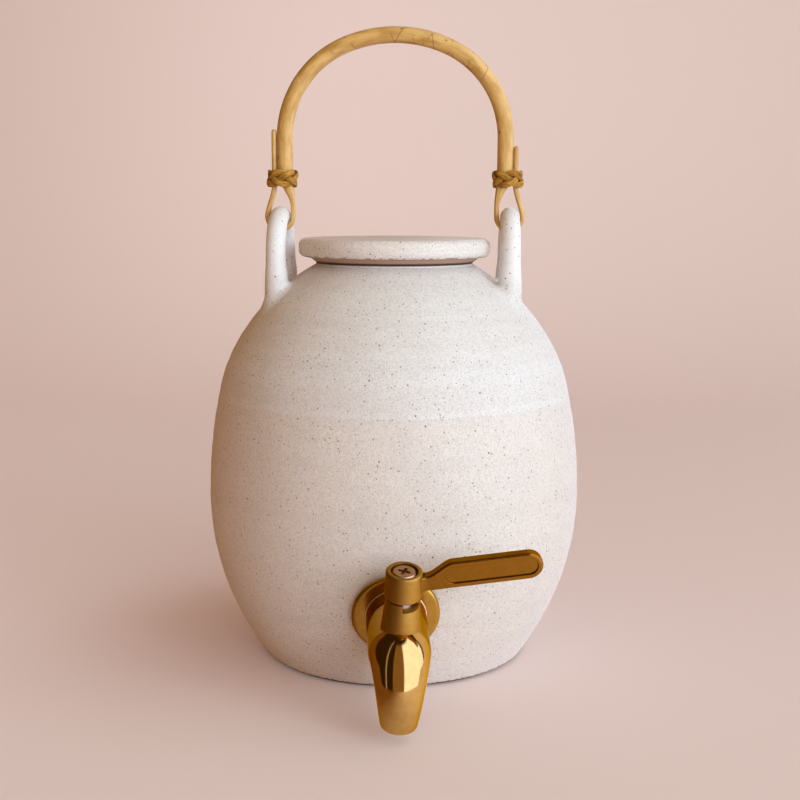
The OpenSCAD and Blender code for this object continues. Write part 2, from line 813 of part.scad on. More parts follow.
// The neck from above, from the hub's axis to where its hollow sides run into the plate.
// They end a little inside the hub and the plate, so that the solids cross cleanly.
module neck_plan() {
    steps = 5;
    tuck = 0.1;
    side = paddle_t / 2 - tuck + neck_flow;
    end_x = sqrt((hub_d / 2 - tuck + neck_flow) ^ 2 - side ^ 2);
    hub_a = atan2(side, end_x);
    flow = arc(end_x, side, neck_flow, hub_a + 180, 270, steps);
    polygon(concat(
        [[0, flow[0][1]]],
        flow,
        [for (i = [steps:-1:0]) [flow[i][0], -flow[i][1]]],
        [[0, -flow[0][1]]]
    ));
}

// The lever's plate at its slope, as thick as asked
module lever_plate(thick) {
    neck_level = 0.4;
    translate([0, 0, hub_z + (hub_h - neck_h) * neck_level])
        rotate([0, -paddle_slope, 0])
        translate([0, thick / 2, 0])
        rotate([90, 0, 0])
        linear_extrude(thick)
        children();
}

module lever() {
    hub_r = hub_d / 2;
    color(gold) at_tap() at_stem() difference() {
        union() {
            translate([0, 0, hub_z]) rotate_extrude() polygon(concat(
                [[0, 0], [hub_r, 0]],
                arc(hub_r - hub_round, hub_h - hub_round, hub_round, 0, 90, 6),
                [[0, hub_h]]
            ));
            lever_plate(paddle_t) lever_outline();
            intersection() {
                lever_plate(hub_d) lever_outline();
                translate([0, 0, hub_z]) linear_extrude(2 * hub_h) neck_plan();
            }
            translate([0, 0, hub_z - notch_depth])
                sector(tooth_r, hub_r - run_gap, lever_start - tooth_angle / 2,
                    lever_start + tooth_angle / 2, notch_depth + hub_h / 2);
        }
        translate([0, -paddle_t, 0]) lever_plate(paddle_t + 2 * panel_depth) lever_panel();
        translate([0, 0, spring_z0]) cylinder(d = head_d + 2 * head_room, h = hub_h);
        translate([0, 0, hub_z]) cylinder(d = screw_d + 4 * run_gap, h = hub_h);
        translate([-drive_w / 2 - run_gap, -drive_w / 2 - run_gap, hub_z - cut])
            cube([drive_w + 2 * run_gap, drive_w + 2 * run_gap, drive_top - hub_z + cut]);
    }
}

module lever_screw() {
    cross_w = 1.3;
    cross_l = 4.8;
    cross_h = 1.4;
    cross_turn = 22;
    round_h = head_h / 4;
    color(steel) at_tap() at_stem() difference() {
        union() {
            translate([0, 0, head_z - screw_len]) cylinder(d = screw_d, h = screw_len);
            translate([0, 0, head_z]) cylinder(d = head_d, h = head_h - round_h);
            translate([0, 0, head_z + head_h - round_h])
                cylinder(d1 = head_d, d2 = head_d - 2 * round_h, h = round_h);
        }
        for (a = [0, 90]) rotate([0, 0, a - cross_turn])
            translate([-cross_l / 2, -cross_w / 2, head_z + head_h - cross_h])
            cube([cross_l, cross_w, cross_h + cut]);
    }
}

// Split ring under the screw's head
module spring_washer() {
    split = 12;
    color(steel) at_tap() at_stem() translate([0, 0, spring_z0])
        rotate_extrude(angle = 360 - split)
        translate([screw_d / 2 + 2 * slip, 0])
        square([head_d / 2 - screw_d / 2 - 2 * slip, spring_t]);
}

crock();
left_ear();
right_ear();
lid();
cane_handle();
left_binding();
right_binding();
tap_body();
tap_flange();
outer_seal();
inner_seal();
inner_washer();
lock_nut();
valve_sleeve();
valve_plug();
stem_o_rings();
bearing_washer();
bottom_cap();
cap_o_ring();
lever();
lever_screw();
spring_washer();
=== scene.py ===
"""Looks of a ceramic water dispenser: speckled crock, slab lid, bent cane handle and gold lever tap.

Every length is in millimetres in the part's own frame and is turned into metres when a piece is finished.
"""

import logging
import math
from collections.abc import Callable, Iterable, Sequence
from dataclasses import dataclass, field
from enum import Enum

import bmesh
import bpy
from mathutils import Matrix, Vector, noise


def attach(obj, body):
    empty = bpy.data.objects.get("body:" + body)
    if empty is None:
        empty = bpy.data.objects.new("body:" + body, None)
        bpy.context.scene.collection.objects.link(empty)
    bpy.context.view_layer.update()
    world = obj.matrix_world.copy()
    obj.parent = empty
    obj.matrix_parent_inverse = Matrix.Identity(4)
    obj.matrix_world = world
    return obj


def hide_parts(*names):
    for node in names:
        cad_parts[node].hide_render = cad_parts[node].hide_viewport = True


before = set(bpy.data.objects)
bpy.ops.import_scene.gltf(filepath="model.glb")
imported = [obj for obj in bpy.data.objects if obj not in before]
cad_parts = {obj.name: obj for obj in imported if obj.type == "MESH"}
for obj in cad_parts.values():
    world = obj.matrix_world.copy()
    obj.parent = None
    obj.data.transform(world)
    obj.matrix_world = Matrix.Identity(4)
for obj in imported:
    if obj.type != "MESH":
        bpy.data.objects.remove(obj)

log = logging.getLogger("dispenser")

MM = 0.001
Colour = tuple[float, float, float]
Spot = tuple[float, float, float]
Point = tuple[float, float]
Socket = bpy.types.NodeSocket
Rings = list[list[Vector]]


class Body(Enum):
    """Bodies of the mechanism that a piece can ride on."""

    CROCK = "crock"
    LID = "lid"
    HANDLE = "handle"
    LEVER = "lever"


class Side(Enum):
    """Left or right of someone who faces the tap."""

    LEFT = -1
    RIGHT = 1


# Small maths


def mix(a: float, b: float, u: float) -> float:
    """Value that lies u of the way from a to b."""
    return a + (b - a) * u


def smooth(u: float) -> float:
    """Soft step from 0 to 1."""
    t = min(max(u, 0.0), 1.0)
    return t * t * (3 - 2 * t)


def arc(cx: float, cy: float, r: float, a0: float, a1: float, steps: int) -> list[Point]:
    """Points on an arc round (cx, cy), in equal steps from angle a0 to a1 in degrees, both ends included."""
    angles = [math.radians(mix(a0, a1, i / steps)) for i in range(steps + 1)]
    return [(cx + r * math.cos(a), cy + r * math.sin(a)) for a in angles]


def srgb(red: int, green: int, blue: int) -> Colour:
    """Linear colour of a screen colour.

    Args:
        red: Red from 0 to 255.
        green: Green from 0 to 255.
        blue: Blue from 0 to 255.

    Returns:
        The colour from 0 to 1.
    """
    parts = [c / 255 for c in (red, green, blue)]
    lit = [c / 12.92 if c <= 0.04045 else ((c + 0.055) / 1.055) ** 2.4 for c in parts]
    return lit[0], lit[1], lit[2]


# Shader building


class Graph:
    """A node tree with short calls for the nodes that the finishes use."""

    def __init__(self, tree: bpy.types.NodeTree) -> None:
        """Take over a tree and clear it."""
        self.tree = tree
        tree.nodes.clear()

    def add(self, kind: str, **options: object) -> bpy.types.Node:
        """Add a node.

        Args:
            kind: The node's type.
            options: Its settings by name.

        Returns:
            The node.
        """
        node = self.tree.nodes.new(kind)
        for key, value in options.items():
            setattr(node, key, value)
        return node

    def put(self, value: object, socket: Socket) -> None:
        """Link a socket to an input, or set the input's own value.

        Args:
            value: A socket, number, vector or colour.
            socket: The input.
        """
        if isinstance(value, bpy.types.NodeSocket):
            self.tree.links.new(value, socket)
        elif isinstance(value, tuple) and len(value) == 3 and socket.type == "RGBA":
            socket.default_value = (*value, 1.0)
        else:
            socket.default_value = value

    def fill(self, kind: str, *values: object, **options: object) -> bpy.types.Node:
        """Add a node and fill in its inputs in order.

        Args:
            kind: The node's type.
            values: What goes into its inputs.
            options: Its settings by name.

        Returns:
            The node.
        """
        node = self.add(kind, **options)
        for value, socket in zip(values, node.inputs):
            self.put(value, socket)
        return node

    def give(self, node: bpy.types.Node, **values: object) -> bpy.types.Node:
        """Fill in a node's inputs by name.

        Args:
            node: The node.
            values: What goes into each input, named with _ for a space.

        Returns:
            The same node.
        """
        for key, value in values.items():
            self.put(value, node.inputs[key.replace("_", " ")])
        return node

    def math(self, operation: str, *values: object) -> Socket:
        """Arithmetic on one to three values."""
        return self.fill("ShaderNodeMath", *values, operation=operation).outputs[0]

    def times(self, first: object, second: object) -> Socket:
        """Product of two values."""
        return self.math("MULTIPLY", first, second)

    def size(self, value: object) -> Socket:
        """A value without its sign."""
        return self.math("ABSOLUTE", value)

    def stretch(self, value: Socket, by: Spot) -> Socket:
        """A vector with each of its parts multiplied."""
        return self.fill("ShaderNodeVectorMath", value, by, operation="MULTIPLY").outputs["Vector"]

    def distance(self, place: Socket, spot: Spot) -> Socket:
        """Distance of a place from a fixed spot."""
        return self.fill("ShaderNodeVectorMath", place, spot, operation="DISTANCE").outputs["Value"]

    def split(self, value: Socket) -> tuple[Socket, Socket, Socket]:
        """The three parts of a vector."""
        parts = self.fill("ShaderNodeSeparateXYZ", value).outputs
        return parts[0], parts[1], parts[2]

    def join(self, x: object, y: object, z: object) -> Socket:
        """A vector from three parts."""
        return self.fill("ShaderNodeCombineXYZ", x, y, z).outputs[0]

    def noise(self, place: Socket, scale: float, detail: float = 2.0, rough: float = 0.5) -> Socket:
        """Soft noise from 0 to 1."""
        node = self.add("ShaderNodeTexNoise")
        return self.give(node, Vector=place, Scale=scale, Detail=detail, Roughness=rough).outputs["Fac"]

    def ramp(self, value: object, low: object, high: object, start: float = 0.0, end: float = 1.0) -> Socket:
        """Soft step of a value between two limits, from start to end."""
        soft = {"interpolation_type": "SMOOTHSTEP", "clamp": True}
        return self.fill("ShaderNodeMapRange", value, low, high, start, end, **soft).outputs[0]

    def blend(self, amount: object, first: object, second: object) -> Socket:
        """Mix of two colours.

        Args:
            amount: Share of the second colour.
            first: First colour.
            second: Second colour.

        Returns:
            The mixed colour.
        """
        node = self.add("ShaderNodeMix", data_type="RGBA")
        for value, index in ((amount, 0), (first, 6), (second, 7)):
            self.put(value, node.inputs[index])
        return node.outputs[2]

    def bump(self, height: Socket, depth_mm: float, strength: float = 1.0, under: Socket | None = None) -> Socket:
        """Normal bent by a height from 0 to 1.

        Args:
            height: The height.
            depth_mm: Depth that a height of 1 stands for.
            strength: How far the normal follows it.
            under: Normal that is bent already.

        Returns:
            The normal.
        """
        node = self.give(self.add("ShaderNodeBump"), Strength=strength, Distance=depth_mm * MM, Height=height)
        if under is not None:
            self.put(under, node.inputs["Normal"])
        return node.outputs[0]

    def use(self, group: bpy.types.NodeTree, **values: object) -> bpy.types.Node:
        """Place a shared group and fill in its inputs."""
        return self.give(self.add("ShaderNodeGroup", node_tree=group), **values)

    def place_mm(self) -> Socket:
        """The piece's own coordinates in millimetres."""
        return self.stretch(self.add("ShaderNodeTexCoord").outputs["Object"], (1 / MM, 1 / MM, 1 / MM))

    def grain(self) -> Socket:
        """Straightened coordinates that a swept piece carries, in millimetres."""
        return self.add("ShaderNodeAttribute", attribute_name="grain").outputs["Vector"]

    def principled(self, **values: object) -> Socket:
        """One principled surface."""
        return self.give(self.add("ShaderNodeBsdfPrincipled"), **values).outputs[0]

    def mixed(self, amount: Socket, first: Socket, second: Socket) -> Socket:
        """Mix of two surfaces."""
        return self.fill("ShaderNodeMixShader", amount, first, second).outputs[0]

    def end(self, surface: Socket, kind: str = "Material") -> None:
        """End the tree in a surface."""
        self.put(surface, self.add(f"ShaderNodeOutput{kind}").inputs["Surface"])


@dataclass
class Effects:
    """Shader groups that several finishes share, each made once."""

    made: dict[str, bpy.types.NodeTree] = field(default_factory=dict)

    def group(self, name: str, inputs: dict[str, str], outputs: Iterable[str]) -> tuple[Graph, Socket, Socket]:
        """Start a new shared group.

        Args:
            name: The group's name.
            inputs: Kind of each input by name.
            outputs: Names of the outputs, which are all plain values.

        Returns:
            The graph, its input node's outputs and its output node's inputs.
        """
        tree = bpy.data.node_groups.new(name, "ShaderNodeTree")
        for direction, sockets in (("INPUT", inputs), ("OUTPUT", dict.fromkeys(outputs, "Float"))):
            for key, kind in sockets.items():
                tree.interface.new_socket(key, in_out=direction, socket_type=f"NodeSocket{kind}")
        graph = Graph(tree)
        self.made[name] = tree
        return graph, graph.add("NodeGroupInput").outputs, graph.add("NodeGroupOutput").inputs

    def specks(self) -> bpy.types.NodeTree:
        """Round specks scattered in cells.

        Returns:
            The group, whose mask is 1 on a speck and 0 elsewhere.
        """
        if "specks" not in self.made:
            values = {"Place": "Vector", "Cell": "Float", "Share": "Float", "Size": "Float"}
            graph, given, result = self.group("specks", values, ("Mask",))
            cells = graph.add("ShaderNodeTexVoronoi", feature="F1")
            graph.give(cells, Vector=given["Place"], Scale=graph.math("DIVIDE", 1.0, given["Cell"]))
            chance, spread, _ = graph.split(cells.outputs["Color"])
            kept = graph.math("LESS_THAN", chance, given["Share"])
            wide = graph.times(given["Size"], graph.ramp(spread, 0.0, 1.0, 0.45, 1.0))
            size = graph.math("DIVIDE", wide, given["Cell"])
            spot = graph.ramp(cells.outputs["Distance"], size, graph.times(size, 0.45))
            graph.put(graph.times(kept, spot), result["Mask"])
        return self.made["specks"]

    def fibre(self) -> bpy.types.NodeTree:
        """Lengthwise fibres of cane.

        Returns:
            The group, with fine streaks, broad tone and dark flecks.
        """
        if "fibre" not in self.made:
            graph, given, result = self.group("fibre", {"Grain": "Vector"}, ("Streak", "Tone", "Fleck"))
            fine, broad, long = (graph.stretch(given["Grain"], (1.0, 1.0, along)) for along in (0.07, 0.3, 0.45))
            graph.put(graph.noise(fine, 2.6, 4.0, 0.6), result["Streak"])
            graph.put(graph.noise(broad, 0.28, 3.0), result["Tone"])
            small = graph.use(self.specks(), Place=long, Cell=1.5, Share=0.4, Size=0.32).outputs[0]
            large = graph.use(self.specks(), Place=long, Cell=4.5, Share=0.6, Size=0.75).outputs[0]
            graph.put(graph.math("MAXIMUM", graph.times(small, 0.55), large), result["Fleck"])
        return self.made["fibre"]

    def handling(self) -> bpy.types.NodeTree:
        """Wear of polished metal.

        Returns:
            The group, with faint smears and hairlines.
        """
        if "handling" not in self.made:
            graph, given, result = self.group("handling", {"Place": "Vector"}, ("Smear", "Hairline"))
            graph.put(graph.noise(given["Place"], 0.35, 4.0, 0.6), result["Smear"])
            drawn = graph.stretch(given["Place"], (0.5, 6.0, 6.0))
            graph.put(graph.noise(drawn, 1.2, 3.0, 0.7), result["Hairline"])
        return self.made["handling"]


EFFECTS = Effects()


@dataclass(frozen=True)
class Finish:
    """A procedural material that is made the first time it is asked for."""

    name: str
    slot: str

    def material(self) -> bpy.types.Material:
        """Find or make the material.

        Returns:
            The finish's material.
        """
        found = bpy.data.materials.get(self.name)
        if found is None:
            found = bpy.data.materials.new(self.name)
            found.use_nodes = True
            self.draw(Graph(found.node_tree))
        return found

    def draw(self, graph: Graph) -> None:
        """Fill in the material's nodes."""
        raise NotImplementedError


@dataclass(frozen=True)
class SpeckledGlaze(Finish):
    """Matt white glaze over iron-speckled stoneware, in two dips that overlap at one height."""

    upper: Colour = srgb(233, 232, 232)
    lower: Colour = srgb(232, 225, 219)
    # On the crock, the bare clay of the foot is painted dark brown: partly its own clay, partly painted contact shade
    # where it meets the floor.
    clay: Colour = srgb(96, 60, 36)
    iron: Colour = srgb(100, 64, 42)
    rust: Colour = srgb(142, 102, 78)
    dip_z: float = 115.5
    bare_z: float = 1.3
    # A dark band at this height, inside this radius, is painted shade in the seam where the lid sits on the rim.
    seam_shade_z: float = 173.7
    seam_shade_r: float = 40.0
    # Above this height and beyond this reach from the middle, the glaze is painted whiter: painted light on the ears.
    ear_z: float = 158.0
    ear_x: float = 42.0
    rough: float = 0.44

    def draw(self, graph: Graph) -> None:
        """Build up dips, cloudiness, specks, pits and bare clay, with painted light on the ears, painted contact shade
        in the dark bare foot and painted shade in the seam where the lid sits on the rim.

        Args:
            graph: The material's nodes.
        """
        place = graph.place_mm()
        x, _, height = graph.split(place)
        cloud = graph.noise(place, 0.05, 4.0, 0.6)
        curdle = graph.noise(place, 0.85, 2.0, 0.6)
        worms = graph.ramp(graph.size(graph.math("SUBTRACT", curdle, 0.5)), 0.07, 0.0)
        band = graph.noise(graph.join(0.0, 0.0, height), 0.11, 2.0, 0.6)
        over = graph.math("SUBTRACT", height, graph.math("MULTIPLY_ADD", cloud, 1.6, self.dip_z - 0.8))
        dipped = graph.ramp(over, -0.8, 0.8)
        border = graph.times(dipped, graph.ramp(over, 1.0, 0.0))
        # Painted light: the ears and the shoulder beside them are painted whiter, for the extra light that reaches
        # them.
        ear = graph.times(graph.ramp(height, self.ear_z, self.ear_z + 14, 0.0, 0.7),
                          graph.ramp(graph.size(x), self.ear_x, self.ear_x + 4))
        colour = graph.blend(dipped, self.lower, self.upper)
        for share, tone in (
            (graph.times(border, 0.25), srgb(218, 206, 198)),
            (graph.ramp(cloud, 0.35, 0.7, 0.0, 0.35), srgb(219, 214, 211)),
            (graph.ramp(band, 0.4, 0.65, 0.0, 0.35), srgb(222, 212, 205)),
            (graph.times(worms, 0.48), srgb(188, 175, 167)),
            (ear, srgb(244, 244, 245)),
        ):
            colour = graph.blend(share, colour, tone)
        pits: Socket | float = 0.0
        for cell, share, size, strength, tint in (
            (1.0, 0.5, 0.3, 0.4, self.rust),
            (1.7, 0.5, 0.45, 0.85, self.rust),
            (3.6, 0.35, 0.52, 0.9, self.iron),
        ):
            mask = graph.use(EFFECTS.specks(), Place=place, Cell=cell, Share=share, Size=size).outputs[0]
            speck = graph.times(mask, strength)
            colour = graph.blend(speck, colour, tint)
            pits = graph.math("MAXIMUM", pits, speck)
        # Bare clay below the glaze's edge; on the crock its dark colour is also painted contact shade at the foot.
        edge = graph.math("MULTIPLY_ADD", cloud, 0.6, self.bare_z - 0.3)
        bare = graph.ramp(height, graph.math("ADD", edge, 0.15), graph.math("SUBTRACT", edge, 0.15))
        fringe = graph.times(graph.ramp(height, graph.math("ADD", edge, 0.9), edge),
                             graph.ramp(graph.noise(place, 0.5, 2.0), 0.45, 0.62))
        from_axis = graph.distance(graph.stretch(place, (1.0, 1.0, 0.0)), (0.0, 0.0, 0.0))
        # Painted shade: a dark band in the seam where the lid sits on the rim.
        seam_shade = graph.times(graph.ramp(graph.size(graph.math("SUBTRACT", height, self.seam_shade_z)), 1.3, 0.6),
                            graph.ramp(from_axis, self.seam_shade_r + 2, self.seam_shade_r))
        for share, tone in ((graph.times(fringe, 0.75), self.iron), (bare, self.clay),
                            (graph.times(seam_shade, 0.88), srgb(64, 38, 22))):
            colour = graph.blend(share, colour, tone)
        rough = graph.math("MULTIPLY_ADD", bare, 0.3, graph.math("MULTIPLY_ADD", curdle, 0.16, self.rough - 0.08))
        fine = graph.bump(graph.noise(place, 1.6, 3.0, 0.55), 0.08, 0.35)
        step = graph.bump(dipped, 0.12, 0.5, fine)
        normal = graph.bump(graph.math("SUBTRACT", 1.0, pits), 0.16, 0.6, step)
        graph.end(graph.principled(Base_Color=colour, Roughness=rough, Normal=normal, Specular_IOR_Level=0.16))


@dataclass(frozen=True)
class Cane(Finish):
    """Peeled cane: golden skin with lengthwise fibre, dark flecks and the crossing marks of an old binding."""

    pale: Colour = srgb(224, 182, 110)
    deep: Colour = srgb(170, 118, 44)
    fleck: Colour = srgb(96, 56, 18)
    light_mark: Colour = srgb(240, 214, 164)
    dark_mark: Colour = srgb(122, 76, 24)
    turns_mm: float = 9.0
    marked_z: float = 246.0

    def draw(self, graph: Graph) -> None:
        """Lay tone, streaks, flecks and the crossing marks over each other.

        Args:
            graph: The material's nodes.
        """
        grain = graph.grain()
        fibre = graph.use(EFFECTS.fibre(), Grain=grain).outputs
        x, y, along = graph.split(grain)
        around = graph.math("DIVIDE", graph.math("ARCTAN2", y, x), 2 * math.pi)
        side, _, height = graph.split(graph.place_mm())
        marks: Socket | float = 0.0
        for turn, pitch in ((1.0, self.turns_mm), (-1.0, self.turns_mm * 1.37)):
            climb = graph.math("MULTIPLY_ADD", around, turn, graph.math("DIVIDE", along, pitch))
            near = graph.size(graph.math("SUBTRACT", graph.math("FRACT", climb), 0.5))
            marks = graph.math("MAXIMUM", marks, graph.ramp(near, 0.03, 0.012))
        marks = graph.times(marks, graph.ramp(graph.noise(grain, 0.22, 2.0), 0.48, 0.56))
        marks = graph.times(marks, graph.ramp(height, self.marked_z, self.marked_z + 8))
        mark = graph.blend(graph.ramp(side, -36.0, -24.0), self.light_mark, self.dark_mark)
        colour = graph.blend(graph.ramp(fibre["Tone"], 0.3, 0.65, 0.35, 1.0), self.deep, self.pale)
        for share, tone in (
            (graph.ramp(fibre["Streak"], 0.45, 0.75, 0.0, 0.4), self.deep),
            (graph.times(marks, 0.65), mark),
            (graph.times(fibre["Fleck"], 0.8), self.fleck),
        ):
            colour = graph.blend(share, colour, tone)
        rough = graph.ramp(fibre["Streak"], 0.2, 0.8, 0.34, 0.52)
        normal = graph.bump(fibre["Streak"], 0.1, 0.4)
        normal = graph.bump(graph.math("ADD", marks, fibre["Fleck"]), -0.12, 0.5, normal)
        graph.end(graph.principled(Base_Color=colour, Roughness=rough, Normal=normal, Specular_IOR_Level=0.45))


@dataclass(frozen=True)
class Rattan(Finish):
    """Split rattan core of the braids: darker and drier than the cane, with open fibres."""

    pale: Colour = srgb(226, 170, 74)
    deep: Colour = srgb(158, 106, 28)
    groove: Colour = srgb(88, 50, 12)
    fleck: Colour = srgb(84, 52, 24)

    def draw(self, graph: Graph) -> None:
        """Draw long fibres with dark grooves between them.

        Args:
            graph: The material's nodes.
        """
        grain = graph.grain()
        fibre = graph.use(EFFECTS.fibre(), Grain=grain).outputs
        thread = graph.noise(graph.stretch(grain, (1.0, 1.0, 0.05)), 5.0, 3.0, 0.6)
        colour = graph.blend(graph.ramp(fibre["Tone"], 0.3, 0.7), self.deep, self.pale)
        colour = graph.blend(graph.ramp(thread, 0.56, 0.42, 0.0, 0.75), colour, self.groove)
        colour = graph.blend(graph.times(fibre["Fleck"], 0.4), colour, self.fleck)
        rough = graph.ramp(thread, 0.2, 0.8, 0.6, 0.46)
        normal = graph.bump(thread, 0.24, 0.9)
        graph.end(graph.principled(Base_Color=colour, Roughness=rough, Normal=normal, Specular_IOR_Level=0.2))


@dataclass(frozen=True)
class Metal(Finish):
    """Polished or plain metal with the faint wear of handling."""

    tint: Colour = srgb(192, 150, 82)
    worn: Colour = srgb(176, 132, 66)
    rough: float = 0.07
    spread: float = 0.06
    glint: Colour = srgb(226, 192, 136)

    def draw(self, graph: Graph) -> None:
        """Vary colour, roughness and height a little over the metal.

        Args:
            graph: The material's nodes.
        """
        wear = graph.use(EFFECTS.handling(), Place=graph.place_mm()).outputs
        smear = graph.ramp(wear["Smear"], 0.3, 0.75)
        colour = graph.blend(graph.times(smear, 0.5), self.tint, self.worn)
        rough = graph.math("ADD", graph.math("MULTIPLY_ADD", smear, self.spread, self.rough),
                           graph.ramp(wear["Hairline"], 0.5, 0.8, 0.0, self.spread * 0.5))
        normal = graph.bump(wear["Hairline"], 0.02, 0.12)
        graph.end(graph.principled(Base_Color=colour, Metallic=1.0, Roughness=rough, Normal=normal,
                                   Specular_Tint=self.glint))


@dataclass(frozen=True)
class Moulded(Finish):
    """Moulded rubber or plastic with a fine matt skin."""

    tint: Colour = srgb(226, 226, 222)
    shade: Colour = srgb(204, 204, 199)
    rough: float = 0.55

    def draw(self, graph: Graph) -> None:
        """Give the skin a cloudy tone and a fine grain.

        Args:
            graph: The material's nodes.
        """
        place = graph.place_mm()
        cloud = graph.noise(place, 0.5, 3.0)
        skin = graph.noise(place, 9.0, 2.0)
        colour = graph.blend(graph.ramp(cloud, 0.35, 0.7), self.tint, self.shade)
        rough = graph.math("MULTIPLY_ADD", skin, 0.2, self.rough - 0.1)
        graph.end(graph.principled(Base_Color=colour, Roughness=rough, Normal=graph.bump(skin, 0.03, 0.4)))


GLAZE = SpeckledGlaze("speckled_glaze", "glaze")
# On the lid, the painted seam shade lies on its own foot, where it sits on the rim.
LID_GLAZE = SpeckledGlaze("lid_speckled_glaze", "lid_glaze", upper=srgb(237, 232, 228), clay=srgb(190, 158, 138),
                          dip_z=150.0, bare_z=175.9, seam_shade_z=172.9, ear_z=900.0)
CANE = Cane("peeled_cane", "cane")
RATTAN = Rattan("split_rattan", "rattan")
GOLD = Metal("polished_gold", "gold_metal")
SATIN = Metal("satin_gold", "gold_metal", srgb(176, 130, 52), srgb(158, 112, 38), 0.2, 0.08)
BRUSHED = Metal("brushed_gold", "gold_metal", srgb(172, 125, 50), srgb(156, 110, 38), 0.48, 0.06)
# A darker copy of the satin gold for the lever's paddle: painted shade, not a different metal.
SHADED_GOLD = Metal("shaded_gold", "gold_metal", srgb(131, 84, 22), srgb(118, 73, 16), 0.2, 0.06)
# A pale metal for the bead behind the barrel: a painted highlight along that edge.
PAINTED_HIGHLIGHT = Metal("painted_highlight_edge", "gold_metal", srgb(240, 226, 200), srgb(226, 206, 172), 0.3, 0.1)
BRONZE = Metal("bronze_screw", "steel", srgb(180, 142, 100), srgb(158, 120, 82), 0.34, 0.1)
STEEL = Metal("plain_steel", "steel", srgb(220, 222, 228), srgb(196, 198, 204), 0.36, 0.12)
SILICONE = Moulded("soft_silicone", "silicone")
PTFE = Moulded("white_ptfe", "ptfe", srgb(240, 240, 237), srgb(226, 226, 222), 0.42)
SEAL = Moulded("seal_rubber", "seal", srgb(34, 34, 34), srgb(24, 24, 24), 0.6)


# Mesh building


def spin(bm: bmesh.types.BMesh, profile: Sequence[Point], steps: int, turn: tuple[float, float] = (0.0, 360.0),
         closed: bool = False) -> list[bmesh.types.BMVert]:
    """Turn a profile of radius and height round the Z axis.

    Args:
        bm: Mesh to add to.
        profile: Points as radius and height.
        steps: Count of steps in the turn.
        turn: First and last angle in degrees.
        closed: Whether the profile is a closed outline.

    Returns:
        The vertices of the turned form.
    """
    start = math.radians(turn[0])
    before = set(bm.verts)
    verts = [bm.verts.new((r * math.cos(start), r * math.sin(start), z)) for r, z in profile]
    edges = [bm.edges.new(pair) for pair in zip(verts, verts[1:])]
    full = turn[1] - turn[0] >= 360.0
    geom: list[object] = [*verts, *edges]
    if closed:
        edges.append(bm.edges.new((verts[-1], verts[0])))
        geom = [*verts, *edges] if full else [*verts, *edges, bm.faces.new(verts)]
    bmesh.ops.spin(bm, geom=geom, angle=math.radians(turn[1] - turn[0]), steps=steps, axis=(0, 0, 1),
                   cent=(0, 0, 0), use_merge=full)
    made = [v for v in bm.verts if v not in before]
    bmesh.ops.remove_doubles(bm, verts=made, dist=1e-4)
    return [v for v in bm.verts if v not in before]


def sweep(bm: bmesh.types.BMesh, rings: Rings, grains: Rings | None = None, closed: bool = False,
          caps: bool = True) -> None:
    """Extrude a loop of edges through a list of rings.

    Args:
        bm: Mesh to add to.
        rings: Rings of points, each with the same count.
        grains: Straightened place of each point, for the finish.
        closed: Whether the last ring joins the first.
        caps: Whether open ends are filled.
    """
    layer = bm.verts.layers.float_vector.get("grain") or bm.verts.layers.float_vector.new("grain")
    path = [*rings, rings[0]] if closed else rings
    row = [bm.verts.new(p) for p in path[0]]
    first = row
    loop = [bm.edges.new((a, b)) for a, b in zip(row, [*row[1:], row[0]])]
    start = list(loop)
    for i, ring in enumerate(path):
        if i:
            made = bmesh.ops.extrude_edge_only(bm, edges=loop)["geom"]
            fresh = {g for g in made if isinstance(g, bmesh.types.BMVert)}
            row = [next(e.other_vert(v) for e in v.link_edges if e.other_vert(v) in fresh) for v in row]
            loop = [next(e for e in a.link_edges if e.other_vert(a) is b) for a, b in zip(row, [*row[1:], row[0]])]
        for k, vert in enumerate(row):
            vert.co = ring[k]
            if grains is not None:
                vert[layer] = grains[i % len(rings)][k]
    if closed:
        bmesh.ops.remove_doubles(bm, verts=[*first, *row], dist=1e-4)
    elif caps:
        for edges in (start, loop):
            bmesh.ops.edgeloop_fill(bm, edges=edges)


def finish_piece(bm: bmesh.types.BMesh, name: str, body: Body, finish: Finish, stands_for: Iterable[str] = (),
                 sharp: float = 40.0, even: bool = False, place: Matrix | None = None) -> None:
    """Turn a mesh in millimetres into a piece of the object.

    Args:
        bm: The finished mesh, which is used up.
        name: The piece's name.
        body: Body that it rides on.
        finish: Its material.
        stands_for: CAD nodes that it replaces.
        sharp: Angle in degrees above which an edge stays sharp.
        even: Whether large flat faces should keep flat shading beside rounded edges.
        place: Where the mesh's own frame lies in the part's frame.
    """
    if place is not None:
        bmesh.ops.transform(bm, matrix=place, verts=bm.verts)
    bmesh.ops.recalc_face_normals(bm, faces=bm.faces)
    bmesh.ops.scale(bm, vec=(MM, MM, MM), verts=bm.verts)
    mesh = bpy.data.meshes.new(name)
    bm.to_mesh(mesh)
    bm.free()
    mesh.shade_smooth()
    mesh.set_sharp_from_angle(angle=math.radians(sharp))
    mesh.materials.append(finish.material())
    piece = bpy.data.objects.new(name, mesh)
    bpy.context.scene.collection.objects.link(piece)
    if even:
        piece.modifiers.new("even_faces", "WEIGHTED_NORMAL").keep_sharp = True
    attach(piece, body.value)
    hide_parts(*stands_for)
    log.info("%s: %d vertices on %s", name, len(mesh.vertices), body.value)


# Crock and lid


